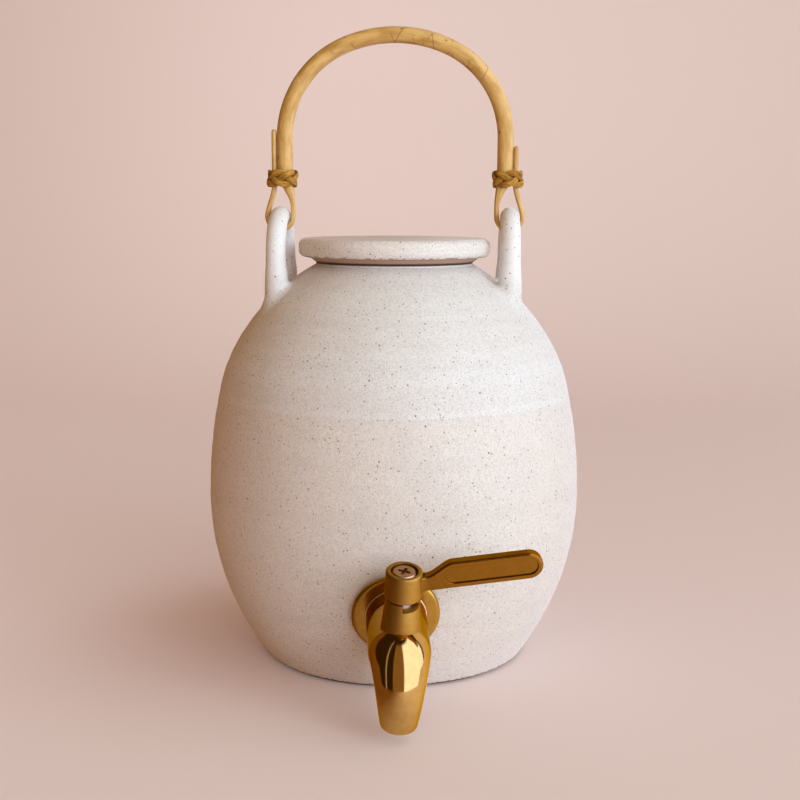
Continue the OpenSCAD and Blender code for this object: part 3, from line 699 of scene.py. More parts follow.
@dataclass
class Crock:
    """Thrown barrel with a soft shoulder corner, a thin rim and two pulled ears."""

    belly_r: float = 82.0
    belly_z: float = 72.0
    foot_r: float = 57.5
    foot_round: float = 1.2
    corner: Point = (74.9, 126.0)
    shoulder_r: float = 86.2
    rim_r: float = 34.4
    rim_z: float = 173.0
    lip_h: float = 0.7
    mouth_r: float = 29.0
    wall: float = 6.0
    floor_t: float = 8.0
    ear_x: float = 50.0
    ear_bar_r: float = 4.2
    ear_arch_r: float = 17.5
    ear_z: float = 175.3
    ear_swell: float = 0.8
    smear: float = 6.0
    wobble: float = 0.22
    steps: int = 192

    def __post_init__(self) -> None:
        """Work out the three arcs of the outline."""
        run = self.belly_r - self.foot_r
        self.lower_r = (run**2 + self.belly_z**2) / (2 * run)
        inset, rise = self.belly_r - self.corner[0], self.corner[1] - self.belly_z
        self.upper_r = (inset**2 + rise**2) / (2 * inset)
        a, b = Vector(self.corner), Vector((self.rim_r, self.rim_z - self.lip_h))
        way = b - a
        lift = math.sqrt(self.shoulder_r**2 - (way.length / 2) ** 2)
        self.shoulder_c = (a + b) / 2 + Vector((-way.y, way.x)).normalized() * lift

    def shoulder_z(self, r: float) -> float:
        """Height of the shoulder's outer face at a radius."""
        return self.shoulder_c.y + math.sqrt(self.shoulder_r**2 - (r - self.shoulder_c.x) ** 2)

    def outline(self, inset: float, low_z: float, top: float) -> list[Point]:
        """Belly and shoulder in section, moved inward by an inset.

        Args:
            inset: Distance inside the outer face.
            low_z: Height of the lowest point.
            top: Radius of the last point.

        Returns:
            Points from the bottom upward.
        """
        lower, upper, shoulder = self.lower_r - inset, self.upper_r - inset, self.shoulder_r - inset
        c = self.shoulder_c
        low_a = -math.degrees(math.asin((self.belly_z - low_z) / lower))
        high_a = math.degrees(math.asin((self.corner[1] - self.belly_z) / self.upper_r))
        turn_a = math.degrees(math.atan2(self.corner[1] - c.y, self.corner[0] - c.x))
        top_a = math.degrees(math.acos((top - c.x) / shoulder))
        ease = 1.2
        return [
            *arc(self.belly_r - self.lower_r, self.belly_z, lower, low_a, 0, 34),
            *arc(self.belly_r - self.upper_r, self.belly_z, upper, 0, high_a - ease * 0.5, 26)[1:],
            *arc(c.x, c.y, shoulder, turn_a + ease, top_a, 40),
        ]

    def thrown(self, p: Vector) -> Vector:
        """Point moved by the finger rings and slight wobble of hand throwing.

        Args:
            p: Point on the true form.

        Returns:
            The moved point, which never lies further out.
        """
        flat = Vector((p.x, p.y, 0))
        if flat.length < 1:
            return p
        fine = 0.06 * math.sin(p.z * 0.9 + 0.4 * math.sin(p.z * 0.21))
        broad = 0.05 * math.sin(p.z * 0.37 + 1.0)
        wobble = self.wobble * noise.noise(p * 0.018)
        fade = smooth((p.z - 2) / 12) * smooth((self.rim_z - p.z) / 10)
        return p + flat.normalized() * min(fine + broad + wobble - self.wobble, 0.0) * fade

    def ear(self, bm: bmesh.types.BMesh, side: Side) -> None:
        """Pull one ear: spin the arch, then run both legs down and smear them onto the shoulder.

        Args:
            bm: Mesh to add to.
            side: Which ear.
        """
        x0 = self.ear_x * side.value
        sides, arch_steps, leg_steps, smear_steps = 40, 28, 6, 12
        feet = []
        for end in (-1, 1):
            legs: Rings = []
            spokes = [2 * math.pi * k / sides for k in range(sides)]
            for i in range(leg_steps + smear_steps + 1):
                ring = []
                for w in spokes:
                    out = Vector((math.cos(w), math.sin(w)))
                    outward = out.dot(Vector((x0, end * self.ear_arch_r)).normalized())
                    ring.append(self.leg_point(x0, end, out, self.smear + 1.8 * outward, i, leg_steps, smear_steps))
                legs.append(ring)
            feet.append(legs)
        arch: Rings = []
        for i in range(1, arch_steps):
            turn = math.pi * i / arch_steps
            ring = []
            for k in range(sides):
                w = 2 * math.pi * k / sides
                reach = self.ear_arch_r + self.ear_bar_r * math.sin(w) * -1
                y, z = -math.cos(turn) * reach, math.sin(turn) * reach
                ring.append(Vector((x0 + self.ear_bar_r * math.cos(w), y, self.ear_z + z)))
            arch.append(ring)
        far = [[ring[(sides - k) % sides] for k in range(sides)] for ring in feet[1]]
        path = [*reversed(feet[0]), *arch, *far]
        lumpy = [[self.lumpy(p) for p in ring] for ring in path]
        sweep(bm, lumpy, caps=False)

    def leg_point(self, x0: float, end: int, out: Vector, smear: float, i: int, leg: int, foot: int) -> Vector:
        """Point on a leg or on its smeared foot.

        Args:
            x0: The leg's place along X.
            end: -1 for the front leg and 1 for the back one.
            out: Direction from the leg's axis.
            smear: Width of the smear in that direction.
            i: Ring, counted down from the arch.
            leg: Count of rings on the straight leg.
            foot: Count of rings on the smear.

        Returns:
            The point.
        """
        y0 = end * self.ear_arch_r
        near_r = self.ear_bar_r + self.ear_swell
        near = Vector((x0, y0)) + out * near_r
        far = Vector((x0, y0)) + out * (near_r + smear)
        near_z, far_z = self.shoulder_z(near.length), self.shoulder_z(far.length)
        top_z = near_z + smear * 0.9
        if i <= leg:
            u = i / leg
            spot = Vector((x0, y0)) + out * mix(self.ear_bar_r, near_r, smooth(u))
            return Vector((spot.x, spot.y, mix(self.ear_z, top_z, u)))
        u = (i - leg) / foot
        spot = near * (1 - u) ** 2 + near * 2 * u * (1 - u) + far * u**2
        z = top_z * (1 - u) ** 2 + near_z * 2 * u * (1 - u) + (far_z - 0.06) * u**2
        return Vector((spot.x, spot.y, z))

    def lumpy(self, p: Vector) -> Vector:
        """Point on an ear moved a little, as hand-pulled clay is.

        Args:
            p: Point on the true form.

        Returns:
            The moved point, which follows the shoulder's own wobble near the foot.
        """
        lift = smooth((p.z - 158) / 10)
        shift = Vector((noise.noise(p * 0.07), noise.noise(p * 0.07 + Vector((9, 0, 0))), 0))
        return self.thrown(p) if lift <= 0 else p + shift * self.wobble * lift + (self.thrown(p) - p) * (1 - lift)

    def build(self) -> None:
        """Throw the barrel, press the tap's seat flat and add the ears."""
        bm = bmesh.new()
        floor_bevel = 3.0
        outer = self.outline(0.0, self.foot_round, self.rim_r)
        inner = self.outline(self.wall, self.floor_t + floor_bevel, self.mouth_r + 0.6)
        lip = self.rim_z - self.lip_h
        profile = [
            (0.0, 0.0), (self.foot_r - 6, 0.0), (self.foot_r - 1.2, 0.0), (self.foot_r - 0.5, 0.25),
            *outer,
            (self.rim_r, mix(lip, self.rim_z, 0.6)), (self.rim_r - 0.3, self.rim_z),
            (self.mouth_r + 1.2, self.rim_z), (self.mouth_r + 0.35, self.rim_z - 0.35),
            (self.mouth_r, self.rim_z - 1.2),
            *reversed(inner),
            (inner[0][0] - 0.9, self.floor_t + 0.9), (inner[0][0] - floor_bevel, self.floor_t), (0.0, self.floor_t),
        ]
        spin(bm, profile, self.steps)
        for vert in bm.verts:
            vert.co = self.thrown(vert.co)
        self.press_seat(bm)
        for side in Side:
            self.ear(bm, side)
        finish_piece(bm, "crock_shell", Body.CROCK, GLAZE, ("crock", "left_ear", "right_ear"), 50.0)

    def press_seat(self, bm: bmesh.types.BMesh) -> None:
        """Flatten the wall under the tap's flange.

        Args:
            bm: Mesh of the barrel.
        """
        seat_r, ease, reach, depth, behind = 17.6, 3.0, 22.0, 1.2, 5.0
        place = TapFrame().matrix()
        inverse = place.inverted()
        for vert in bm.verts:
            local = inverse @ vert.co
            away = math.hypot(local.x, local.z)
            if away < reach and local.y < behind:
                pressed = mix(-local.y, min(-local.y, -depth), 1 - smooth((away - seat_r) / ease))
                vert.co = place @ Vector((local.x, -pressed, local.z))


@dataclass
class Lid:
    """Slab lid with a rounded rim, a bevelled bare foot and a ring that sits in the mouth."""

    r: float = 41.9
    top_z: float = 183.5
    low_z: float = 175.5
    seat_z: float = 173.0
    seat_r: float = 34.4
    bevel_w: float = 3.0
    round_r: float = 3.0
    ring_out: float = 28.0
    ring_in: float = 23.5
    ring_z: float = 166.0
    web_z: float = 175.1
    steps: int = 160

    def build(self) -> None:
        """Spin the slab with a softly rounded rim and a dished top."""
        r, round_r = self.r, self.round_r
        top = [(r - round_r - (r - round_r) * i / 20, self.top_z - 0.35 * (i / 20)) for i in range(1, 21)]
        profile = [
            (0.0, self.web_z), (self.ring_in - 1.5, self.web_z), (self.ring_in - 0.4, self.web_z - 0.4),
            (self.ring_in, self.web_z - 1.5), (self.ring_in, self.ring_z + 1), (self.ring_in + 1, self.ring_z),
            (self.ring_out - 1, self.ring_z), (self.ring_out, self.ring_z + 1), (self.ring_out, self.seat_z),
            (self.seat_r - 0.4, self.seat_z), (self.seat_r, self.seat_z + 0.3),
            *[(mix(self.seat_r, self.seat_r + self.bevel_w, i / 4), mix(self.seat_z + 0.3, self.low_z, i / 4))
              for i in range(1, 5)],
            *arc(r - round_r, self.low_z + round_r, round_r, -90, 0, 10),
            *arc(r - round_r, self.top_z - round_r, round_r, 0, 90, 12)[1:],
            *top,
        ]
        bm = bmesh.new()
        for vert in spin(bm, profile, self.steps):
            wobble = noise.noise(Vector(vert.co) * 0.03) * 0.25
            ridge = 0.05 * math.sin(math.hypot(vert.co.x, vert.co.y) * 1.3)
            if vert.co.z > self.low_z + 0.5:
                flat = Vector((vert.co.x, vert.co.y, 0))
                vert.co += flat.normalized() * wobble * smooth((flat.length - 30) / 8) if flat.length > 1 else Vector()
                vert.co.z += min(ridge, 0) if vert.co.z > self.top_z - 1 else 0
        finish_piece(bm, "lid_slab", Body.LID, LID_GLAZE, ("lid",), 50.0)


# Handle


@dataclass
class HandlePath:
    """Centre line of the cane: tail, loop under the ear, shaved run, leg and arch."""

    cane_x: float = 47.8
    cane_r: float = 3.5
    strip_t: float = 2.1
    strip_w: float = 4.8
    tail_x: float = 52.45
    loop_r: float = 5.65
    ear_x: float = 50.0
    bar_z: float = 192.8
    ear_bar_r: float = 4.2
    binding_z: float = 209.0
    binding_half: float = 3.5
    loop_gap: float = 0.4
    spring_z: float = 226.2
    shoulder_r: float = 42.5
    top_r: float = 56.5

    def side(self, tail: float) -> list[tuple[float, float, float, float]]:
        """Stations from a tail's end to the top of the arch.

        Args:
            tail: Height of the tail above the binding's middle.

        Returns:
            Stations as x, z, half thickness and half depth.
        """
        st, sd, cr = self.strip_t / 2, self.strip_w / 2, self.cane_r
        tail_z = self.binding_z + tail
        low_z = self.binding_z - self.binding_half - self.loop_gap
        out_x, in_x = self.ear_x + self.loop_r, self.ear_x - self.loop_r
        taper_z, full_z = self.bar_z + self.ear_bar_r, self.binding_z + self.binding_half
        arch_x = self.cane_x - self.shoulder_r
        arch_z = self.spring_z - math.sqrt((self.top_r - self.shoulder_r) ** 2 - arch_x**2)
        crown = math.degrees(math.atan2(self.spring_z - arch_z, arch_x))
        rows = [(self.tail_x, tail_z - d, st * t, sd * w)
                for d, t, w in ((0, 0.55, 0.5), (0.25, 0.8, 0.75), (0.9, 1, 0.95))]
        rows += [(self.tail_x, mix(tail_z - 2, low_z, i / 12), st, sd) for i in range(13)]
        for i in range(1, 17):
            u = mix(i / 16, smooth(i / 16), 0.4)
            rows.append((mix(self.tail_x, out_x, u), mix(low_z, self.bar_z + 0.3, i / 16), st, sd))
        rows += [(x, z, st, sd) for x, z in arc(self.ear_x, self.bar_z, self.loop_r, 0, -180, 30)]
        for i in range(1, 37):
            z = mix(self.bar_z, full_z, i / 36)
            u = smooth((z - taper_z) / (full_z - taper_z))
            half = mix(st, cr, u)
            rows.append((mix(in_x - st, self.cane_x - cr, u) + half, z, half, mix(sd, cr, u)))
        rows += [(self.cane_x, mix(full_z, self.spring_z, i / 8), cr, cr) for i in range(1, 8)]
        rows += [(x, z, cr, cr) for x, z in arc(arch_x, self.spring_z, self.shoulder_r, 0, crown, 40)]
        rows += [(x, z, cr, cr) for x, z in arc(0.0, arch_z, self.top_r, crown, 90, 20)[1:]]
        return rows


@dataclass
class CaneHandle:
    """One bent cane whose shaved ends loop under the ears and come back up as tails."""

    path: HandlePath = field(default_factory=HandlePath)
    tails: dict[Side, float] = field(default_factory=lambda: {Side.LEFT: 21.0, Side.RIGHT: 14.0})
    sides: int = 28

    def build(self) -> None:
        """Sweep the cane from the left tail over the arch to the right tail."""
        left = [(-x, z, t, d) for x, z, t, d in self.path.side(self.tails[Side.LEFT])]
        right = self.path.side(self.tails[Side.RIGHT])
        rows = [*left, *reversed(right[:-1])]
        rings: Rings = []
        grains: Rings = []
        run = 0.0
        for i, (x, z, thick, deep) in enumerate(rows):
            a, b = rows[max(i - 1, 0)], rows[min(i + 1, len(rows) - 1)]
            way = Vector((b[0] - a[0], b[1] - a[1])).normalized()
            run += math.hypot(x - a[0], z - a[1]) if i else 0.0
            square = mix(2.0, 3.2, smooth((deep / thick - 1.05) / 0.6))
            knob = 1 + 0.02 * noise.noise(Vector((run * 0.05, 3.0, 0.0)))
            ring, grain = [], []
            for k in range(self.sides):
                w = 2 * math.pi * k / self.sides
                c, s = math.cos(w), math.sin(w)
                e = math.copysign(abs(c) ** (2 / square), c) * thick * min(knob, 1.0)
                f = math.copysign(abs(s) ** (2 / square), s) * deep * min(knob, 1.0)
                ring.append(Vector((x - way.y * e, f, z + way.x * e)))
                grain.append(Vector((c * self.path.cane_r, s * self.path.cane_r, run)))
            rings.append(ring)
            grains.append(grain)
        bm = bmesh.new()
        sweep(bm, rings, grains)
        finish_piece(bm, "bent_cane", Body.HANDLE, CANE, ("cane_handle",), 55.0)


@dataclass
class Binding:
    """Braided ring of one flat strand, woven three times round the cane and its tail."""

    side: Side
    centre_x: float = 48.97
    centre_z: float = 209.0
    hold_x: float = 4.795
    hold_y: float = 4.32
    reach: float = 2.45
    step: float = 0.66
    strand_t: float = 0.85
    strand_w: float = 2.75
    leads: int = 3
    bights: int = 5
    count: int = 420
    sides: int = 14

    def point(self, a: float) -> Vector:
        """Point of the strand's centre line.

        Args:
            a: Angle round the ring in radians.

        Returns:
            The point, from the ring's middle.
        """
        out = self.step + self.strand_t / 2
        rx, ry = self.hold_x + out, self.hold_y + out
        n = Vector((math.cos(a) / rx, math.sin(a) / ry)).normalized()
        e = self.step * math.sin(2 * self.bights * a / self.leads)
        return Vector((rx * math.cos(a) + e * n.x, ry * math.sin(a) + e * n.y,
                       self.reach * math.cos(self.bights * a / self.leads)))

    def build(self) -> None:
        """Sweep the strand over and under itself."""
        full = 2 * math.pi * self.leads
        rings: Rings = []
        grains: Rings = []
        run = 0.0
        for i in range(self.count):
            a = full * i / self.count
            p, q = self.point(a), self.point(a + full / self.count)
            t = (q - self.point(a - full / self.count)).normalized()
            out = Vector((math.cos(a) / self.hold_x, math.sin(a) / self.hold_y, 0)).normalized()
            n = (out - t * out.dot(t)).normalized()
            w = t.cross(n)
            ring, grain = [], []
            for k in range(self.sides):
                v = 2 * math.pi * k / self.sides
                c, s = math.cos(v), math.sin(v)
                thick = math.copysign(abs(c) ** 0.8, c) * self.strand_t / 2
                wide = math.copysign(abs(s) ** 0.7, s) * self.strand_w / 2
                spot = p + n * (thick - 0.1 * (wide / self.strand_w * 2) ** 2) + w * wide
                ring.append(Vector(((self.centre_x + spot.x) * self.side.value, spot.y, self.centre_z + spot.z)))
                grain.append(Vector((c * 0.4, s * self.strand_w / 2, run)))
            rings.append(ring)
            grains.append(grain)
            run += (q - p).length
        bm = bmesh.new()
        sweep(bm, rings, grains, closed=True)
        name = f"{self.side.name.lower()}_binding"
        finish_piece(bm, f"{name}_braid", Body.HANDLE, RATTAN, (name,), 70.0)


# Tap


@dataclass
class TapFrame:
    """Frame of the tap: X to the right, Y back along the shank and Z up the stem."""

    turn: float = math.radians(3)
    yaw: float = math.radians(3)
    tilt: float = math.radians(16.234)
    lean: float = math.radians(2)
    wall_r: float = 77.29
    wall_z: float = 39.0
    stem_s: float = 24.0

    def matrix(self) -> Matrix:
        """Place the tap on the wall.

        Returns:
            The matrix from the tap's frame to the part's frame.
        """
        place = Matrix.Rotation(self.turn, 4, "Z") @ Matrix.Translation((0, -self.wall_r, self.wall_z))
        for angle, axis in ((self.yaw, "Z"), (self.tilt, "X"), (self.lean, "Y")):
            place = place @ Matrix.Rotation(angle, 4, axis)
        return place

    def along(self) -> Matrix:
        """From a frame whose Z runs forward along the shank to the part's frame."""
        return self.matrix() @ Matrix.Rotation(math.radians(90), 4, "X")

    def stem(self) -> Matrix:
        """From a frame whose Z runs up the stem to the part's frame."""
        return self.matrix() @ Matrix.Translation((0, -self.stem_s, 0))


@dataclass
class Tap:
    """Gold tap: flange, barrel with a duck-bill spout, notched collar, bottom boss and threaded shank."""

    place: TapFrame = field(default_factory=TapFrame)
    flange_s: float = 0.8
    flange_r: float = 17.5
    body_s: float = 3.0
    barrel_r: float = 12.0
    outlet_s: float = 40.7
    outlet_drop: float = 22.0
    outlet_r: float = 7.2
    turn_s: float = 27.0
    bore_r: float = 4.5
    collar_r: float = 6.3
    collar_base_r: float = 8.0
    collar_top: float = 22.9
    notch_depth: float = 2.9
    notch: tuple[float, float] = (-93.0, 23.0)
    stem_bore_r: float = 3.6
    boss_r: float = 8.85
    boss_z: float = 12.6
    cap_bore_r: float = 7.05
    shank_r: float = 8.0
    shank_s: float = -20.2
    inlet_r: float = 4.2
    pitch: float = 1.5

    def spout(self, bm: bmesh.types.BMesh) -> None:
        """Sweep the barrel and the duck-bill, roll its lip and run back up the bore.

        Args:
            bm: Mesh to add to.
        """
        sides, turn_s, bevel = 56, self.turn_s, 0.8
        run = self.outlet_s - turn_s
        path = [(self.body_s, 0.0, self.barrel_r - bevel, 0.0)]
        path += [(self.body_s + bevel * (1 - math.cos(math.radians(a))), 0.0,
                  self.barrel_r - bevel * (1 - math.sin(math.radians(a))), 0.0) for a in (22, 45, 67, 90)]
        path += [(mix(self.body_s + 1.2, turn_s, i / 8), 0.0, self.barrel_r, 0.0) for i in range(8)]
        for i in range(46):
            a = math.radians(90 * i / 45)
            path.append((turn_s + run * math.sin(a), -self.outlet_drop * (1 - math.cos(a)),
                         mix(self.barrel_r, self.outlet_r, (i / 45) ** 1.2),
                         math.atan2(self.outlet_drop * math.sin(a), run * math.cos(a))))
        low = -self.outlet_drop
        path[-1] = (self.outlet_s, low + 0.45, self.outlet_r, math.pi / 2)
        path += [(self.outlet_s, low + h, r, math.pi / 2) for h, r in (
            (0.18, self.outlet_r - 0.06), (0.03, self.outlet_r - 0.25), (0.0, self.outlet_r - 0.5),
            (0.0, self.bore_r + 0.5), (0.1, self.bore_r + 0.15), (0.5, self.bore_r), (12.0, self.bore_r))]
        rings = []
        for s, h, r, tilt in path:
            ring = []
            for k in range(sides):
                w = -2 * math.pi * k / sides
                up = r * math.sin(w)
                ring.append(Vector((r * math.cos(w), -(s + up * math.sin(tilt)), h + up * math.cos(tilt))))
            rings.append(ring)
        sweep(bm, rings)

    def collar(self, bm: bmesh.types.BMesh) -> None:
        """Turn the tapered collar in two parts, the second cut down for the lever's stop.

        Args:
            bm: Mesh to add to.
        """
        low, soft = 6.0, 0.35
        slope = (self.collar_base_r - self.collar_r) / (self.collar_top - low)
        start, end = self.notch
        for first, last, top in ((end, start + 360, self.collar_top), (start, end, self.collar_top - self.notch_depth)):
            edge = self.collar_r + slope * (self.collar_top - top)
            profile = [(self.stem_bore_r, low), (self.collar_base_r, low), (edge, top - soft),
                       (edge - soft * 0.3, top - soft * 0.3), (edge - soft, top), (self.stem_bore_r, top)]
            made = spin(bm, profile, round((last - first) / 3), (first, last), closed=True)
            bmesh.ops.transform(bm, matrix=Matrix.Translation((0, -self.place.stem_s, 0)), verts=made)

    def boss(self, bm: bmesh.types.BMesh) -> None:
        """Turn the boss under the barrel that the plug's cap screws into.

        Args:
            bm: Mesh to add to.
        """
        low, high, soft = -self.boss_z, -6.0, 0.3
        profile = [(self.cap_bore_r, high), (self.cap_bore_r, low), (self.boss_r - soft, low),
                   (self.boss_r, low + soft), (self.boss_r, high)]
        made = spin(bm, profile, 56)
        bmesh.ops.transform(bm, matrix=Matrix.Translation((0, -self.place.stem_s, 0)), verts=made)

    def shank(self, bm: bmesh.types.BMesh) -> None:
        """Turn the shank with one ridge of its thread for each pitch, and its bore.

        Args:
            bm: Mesh to add to.
        """
        depth, turns = 0.55, 13
        start = self.shank_s + 0.4
        profile: list[Point] = [(self.inlet_r, start), (self.shank_r - depth - 0.2, start)]
        for i in range(turns):
            z = start + 0.3 + i * self.pitch
            profile += [(self.shank_r - depth, z), (self.shank_r, z + self.pitch * 0.4),
                        (self.shank_r, z + self.pitch * 0.55)]
        profile.append((self.shank_r - depth, self.body_s + 0.4))
        made = spin(bm, profile, 64)
        bore = spin(bm, [(self.inlet_r, start), (self.inlet_r, self.place.stem_s - 9)], 48)
        bmesh.ops.rotate(bm, cent=(0, 0, 0), matrix=Matrix.Rotation(math.radians(90), 3, "X"), verts=[*made, *bore])

    def flange(self, bm: bmesh.types.BMesh) -> None:
        """Turn the flange with its softened front edge.

        Args:
            bm: Mesh to add to.
        """
        back, front, r = self.flange_s, self.body_s, self.flange_r
        hole = self.shank_r + 0.1
        profile = [(hole, back), (r - 0.3, back), (r, back + 0.3), (r, front - 1.0), (r - 0.15, front - 0.55),
                   (r - 0.5, front - 0.2), (r - 1.0, front - 0.04), (r - 1.6, front), (hole, front)]
        spin(bm, profile, 96, closed=True)

    def bead(self, bm: bmesh.types.BMesh) -> None:
        """Turn the bead where the barrel meets the flange, which takes a pale metal as a painted highlight."""
        ring = arc(self.barrel_r, self.body_s + 0.25, 0.25, -90, 270, 12)[:-1]
        spin(bm, ring, 96, closed=True)

    def build(self) -> None:
        """Make the flange, the body, its collar and the bead."""
        wall, axis = self.place.matrix(), self.place.along()
        for name, finish, stands_for, place, even, steps in (
            ("tap_flange_disc", SATIN, ("tap_flange",), axis, True, (self.flange,)),
            ("tap_spout", GOLD, ("tap_body",), wall, False, (self.spout, self.boss, self.shank)),
            ("tap_collar", BRUSHED, (), wall, False, (self.collar,)),
            # The bead's pale metal is a painted highlight.
            ("tap_bead", PAINTED_HIGHLIGHT, (), axis, False, (self.bead,)),
        ):
            bm = bmesh.new()
            for make in steps:
                make(bm)
            finish_piece(bm, name, Body.CROCK, finish, stands_for, 35.0, even, place)


@dataclass
class Lever:
    """Gold lever: round hub with a well for the screw, and a paddle with a bare recessed panel."""

    place: TapFrame = field(default_factory=TapFrame)
    hub_r: float = 6.9
    hub_round: float = 0.9
    hub_z: float = 23.5
    hub_h: float = 11.0
    well_r: float = 5.1
    well_z: float = 31.3
    stem_hole_r: float = 2.9
    tooth_in_r: float = 4.95
    tooth: tuple[float, float] = (-2.0, 22.0)
    tooth_h: float = 2.9
    length: float = 52.5
    paddle_h: float = 10.8
    paddle_t: float = 4.0
    neck_h: float = 6.0
    rise: tuple[float, float] = (8.9, 19.4)
    panel_x: float = 15.7
    slope: float = math.radians(9)
    neck_level: float = 0.4
    neck_flow: float = 5.0
    root_x: float = 5.3
    margin: float = 1.7
    depth: float = 0.7
    edge: float = 0.7

    def outline(self) -> list[Point]:
        """Outline of the plate.

        Returns:
            Points from the hub along the bottom and back along the top.
        """
        tip = self.paddle_h / 2
        base = [(mix(0.0, self.length - tip, i / 12), 0.0) for i in range(12)]
        crest = [(mix(self.length - tip, self.rise[1], i / 8), self.paddle_h) for i in range(1, 8)]
        ramp = [(mix(self.rise[1], self.rise[0], i / 16), mix(self.paddle_h, self.neck_h, smooth(i / 16)))
                for i in range(17)]
        return [*base, *arc(self.length - tip, tip, tip, -90, 90, 32), *crest, *ramp,
                (self.rise[0] / 2, self.neck_h), (0.0, self.neck_h)]

    def panel(self) -> list[Point]:
        """Outline of the recessed panel."""
        tip, r = self.paddle_h / 2, self.paddle_h / 2 - self.margin
        return [*arc(self.length - tip, tip, r, -90, 90, 24), *arc(self.panel_x + r, tip, r, 90, 270, 24)]

    @staticmethod
    def inset(points: Sequence[Point], by: float) -> list[Point]:
        """Outline moved inward by a distance.

        Args:
            points: Outline that runs anticlockwise.
            by: Distance.

        Returns:
            The moved outline.
        """
        moved = []
        for i, here in enumerate(points):
            before, after = Vector(points[i - 1]), Vector(points[(i + 1) % len(points)])
            p = Vector(here)
            n1 = Vector((-(p - before).y, (p - before).x)).normalized()
            n2 = Vector((-(after - p).y, (after - p).x)).normalized()
            n = (n1 + n2).normalized()
            moved.append(tuple(p + n * by / max(n.dot(n1), 0.4)))
        return moved

    def plate(self, bm: bmesh.types.BMesh) -> None:
        """Extrude the plate with rounded edges and sink its panel.

        Args:
            bm: Mesh to add to.
        """
        half, soft = self.paddle_t / 2, self.edge
        bends = [math.radians(90 * i / 5) for i in range(6)]
        stack = [(soft * (1 - math.sin(a)), half - soft * (1 - math.cos(a))) for a in bends]
        stack += [(inset, -y) for inset, y in reversed(stack)]
        shape = self.outline()
        rings = [[Vector((x, y, z)) for x, z in self.inset(shape, inset)] for inset, y in stack]
        before = set(bm.edges)
        sweep(bm, rings, caps=False)
        ends = [e for e in bm.edges if e not in before and e.is_boundary]
        back = [e for e in ends if e.verts[0].co.y > 0]
        front = [e for e in ends if e.verts[0].co.y < 0]
        bmesh.ops.edgeloop_fill(bm, edges=back)
        well = [(0.0, -half), (0.1, -half + 0.03), (0.2, -half + 0.14), (0.25, -half + 0.3),
                (0.28, -half + self.depth - 0.2), (0.36, -half + self.depth - 0.05), (0.55, -half + self.depth)]
        before = set(bm.edges)
        sweep(bm, [[Vector((x, y, z)) for x, z in self.inset(self.panel(), inset)] for inset, y in well], caps=False)
        ends = [e for e in bm.edges if e not in before and e.is_boundary]
        mouth = [e for e in ends if e.verts[0].co.y < -half + 0.01]
        floor = [e for e in ends if e.verts[0].co.y > -half + 0.01]
        bmesh.ops.edgeloop_fill(bm, edges=floor)
        bmesh.ops.triangle_fill(bm, use_beauty=True, edges=[*front, *mouth])

    def neck(self, bm: bmesh.types.BMesh) -> None:
        """Loft the neck, whose hollow sides flow from the hub into the plate.

        Args:
            bm: Mesh to add to.
        """
        half, flow, soft = self.paddle_t / 2, self.neck_flow, self.edge
        end_x = math.sqrt((self.hub_r + flow) ** 2 - (half + flow) ** 2)
        rings: Rings = []
        for i in range(17):
            x = mix(self.root_x, end_x, i / 16)
            wide = half + flow - math.sqrt(flow**2 - (end_x - x) ** 2)
            corners = [arc(sy * (wide - soft), mix(soft, self.neck_h - soft, sz), soft, a, a + 90, 5)
                       for sy, sz, a in ((1, 0, -90), (1, 1, 0), (-1, 1, 90), (-1, 0, 180))]
            rings.append([Vector((x, y, z)) for corner in corners for y, z in corner])
        sweep(bm, rings)

    def paddle(self, bm: bmesh.types.BMesh) -> None:
        """Make the plate and its neck, raise them to their slope and cut them off inside the hub.

        Args:
            bm: Mesh to add to.
        """
        self.plate(bm)
        self.neck(bm)
        neck_z = self.hub_z + (self.hub_h - self.neck_h) * self.neck_level
        lift = Matrix.Translation((0, 0, neck_z)) @ Matrix.Rotation(-self.slope, 4, "Y")
        bmesh.ops.transform(bm, matrix=lift, verts=bm.verts)
        bmesh.ops.bisect_plane(bm, geom=[*bm.verts, *bm.edges, *bm.faces], plane_co=(self.root_x, 0, 0),
                               plane_no=(-1, 0, 0), clear_outer=True)

    def hub(self, bm: bmesh.types.BMesh) -> None:
        """Turn the hub with its well and add its stop tooth.

        Args:
            bm: Mesh to add to.
        """
        low, top, r, soft = self.hub_z, self.hub_z + self.hub_h, self.hub_r, self.hub_round
        bends = [math.radians(90 * i / 6) for i in range(7)]
        profile = [(self.stem_hole_r, low), (r - 0.45, low), (r, low + 0.5),
                   *[(r - soft * (1 - math.cos(a)), top - soft * (1 - math.sin(a))) for a in bends],
                   (self.well_r + 0.3, top), (self.well_r + 0.08, top - 0.08), (self.well_r, top - 0.35),
                   (self.well_r, self.well_z), (self.stem_hole_r, self.well_z)]
        spin(bm, profile, 72, closed=True)
        tooth_low, tooth_r = low - self.tooth_h, r - 0.05
        spin(bm, [(self.tooth_in_r, tooth_low), (tooth_r, tooth_low), (tooth_r, low + 1), (self.tooth_in_r, low + 1)],
             8, self.tooth, closed=True)

    def build(self) -> None:
        """Make the paddle and the hub."""
        # The paddle takes the darker gold, which is painted shade.
        for name, finish, stands_for, make in (("lever_paddle", SHADED_GOLD, ("lever",), self.paddle),
                                               ("lever_hub", BRUSHED, (), self.hub)):
            bm = bmesh.new()
            make(bm)
            finish_piece(bm, name, Body.LEVER, finish, stands_for, 32.0, True, self.place.stem())


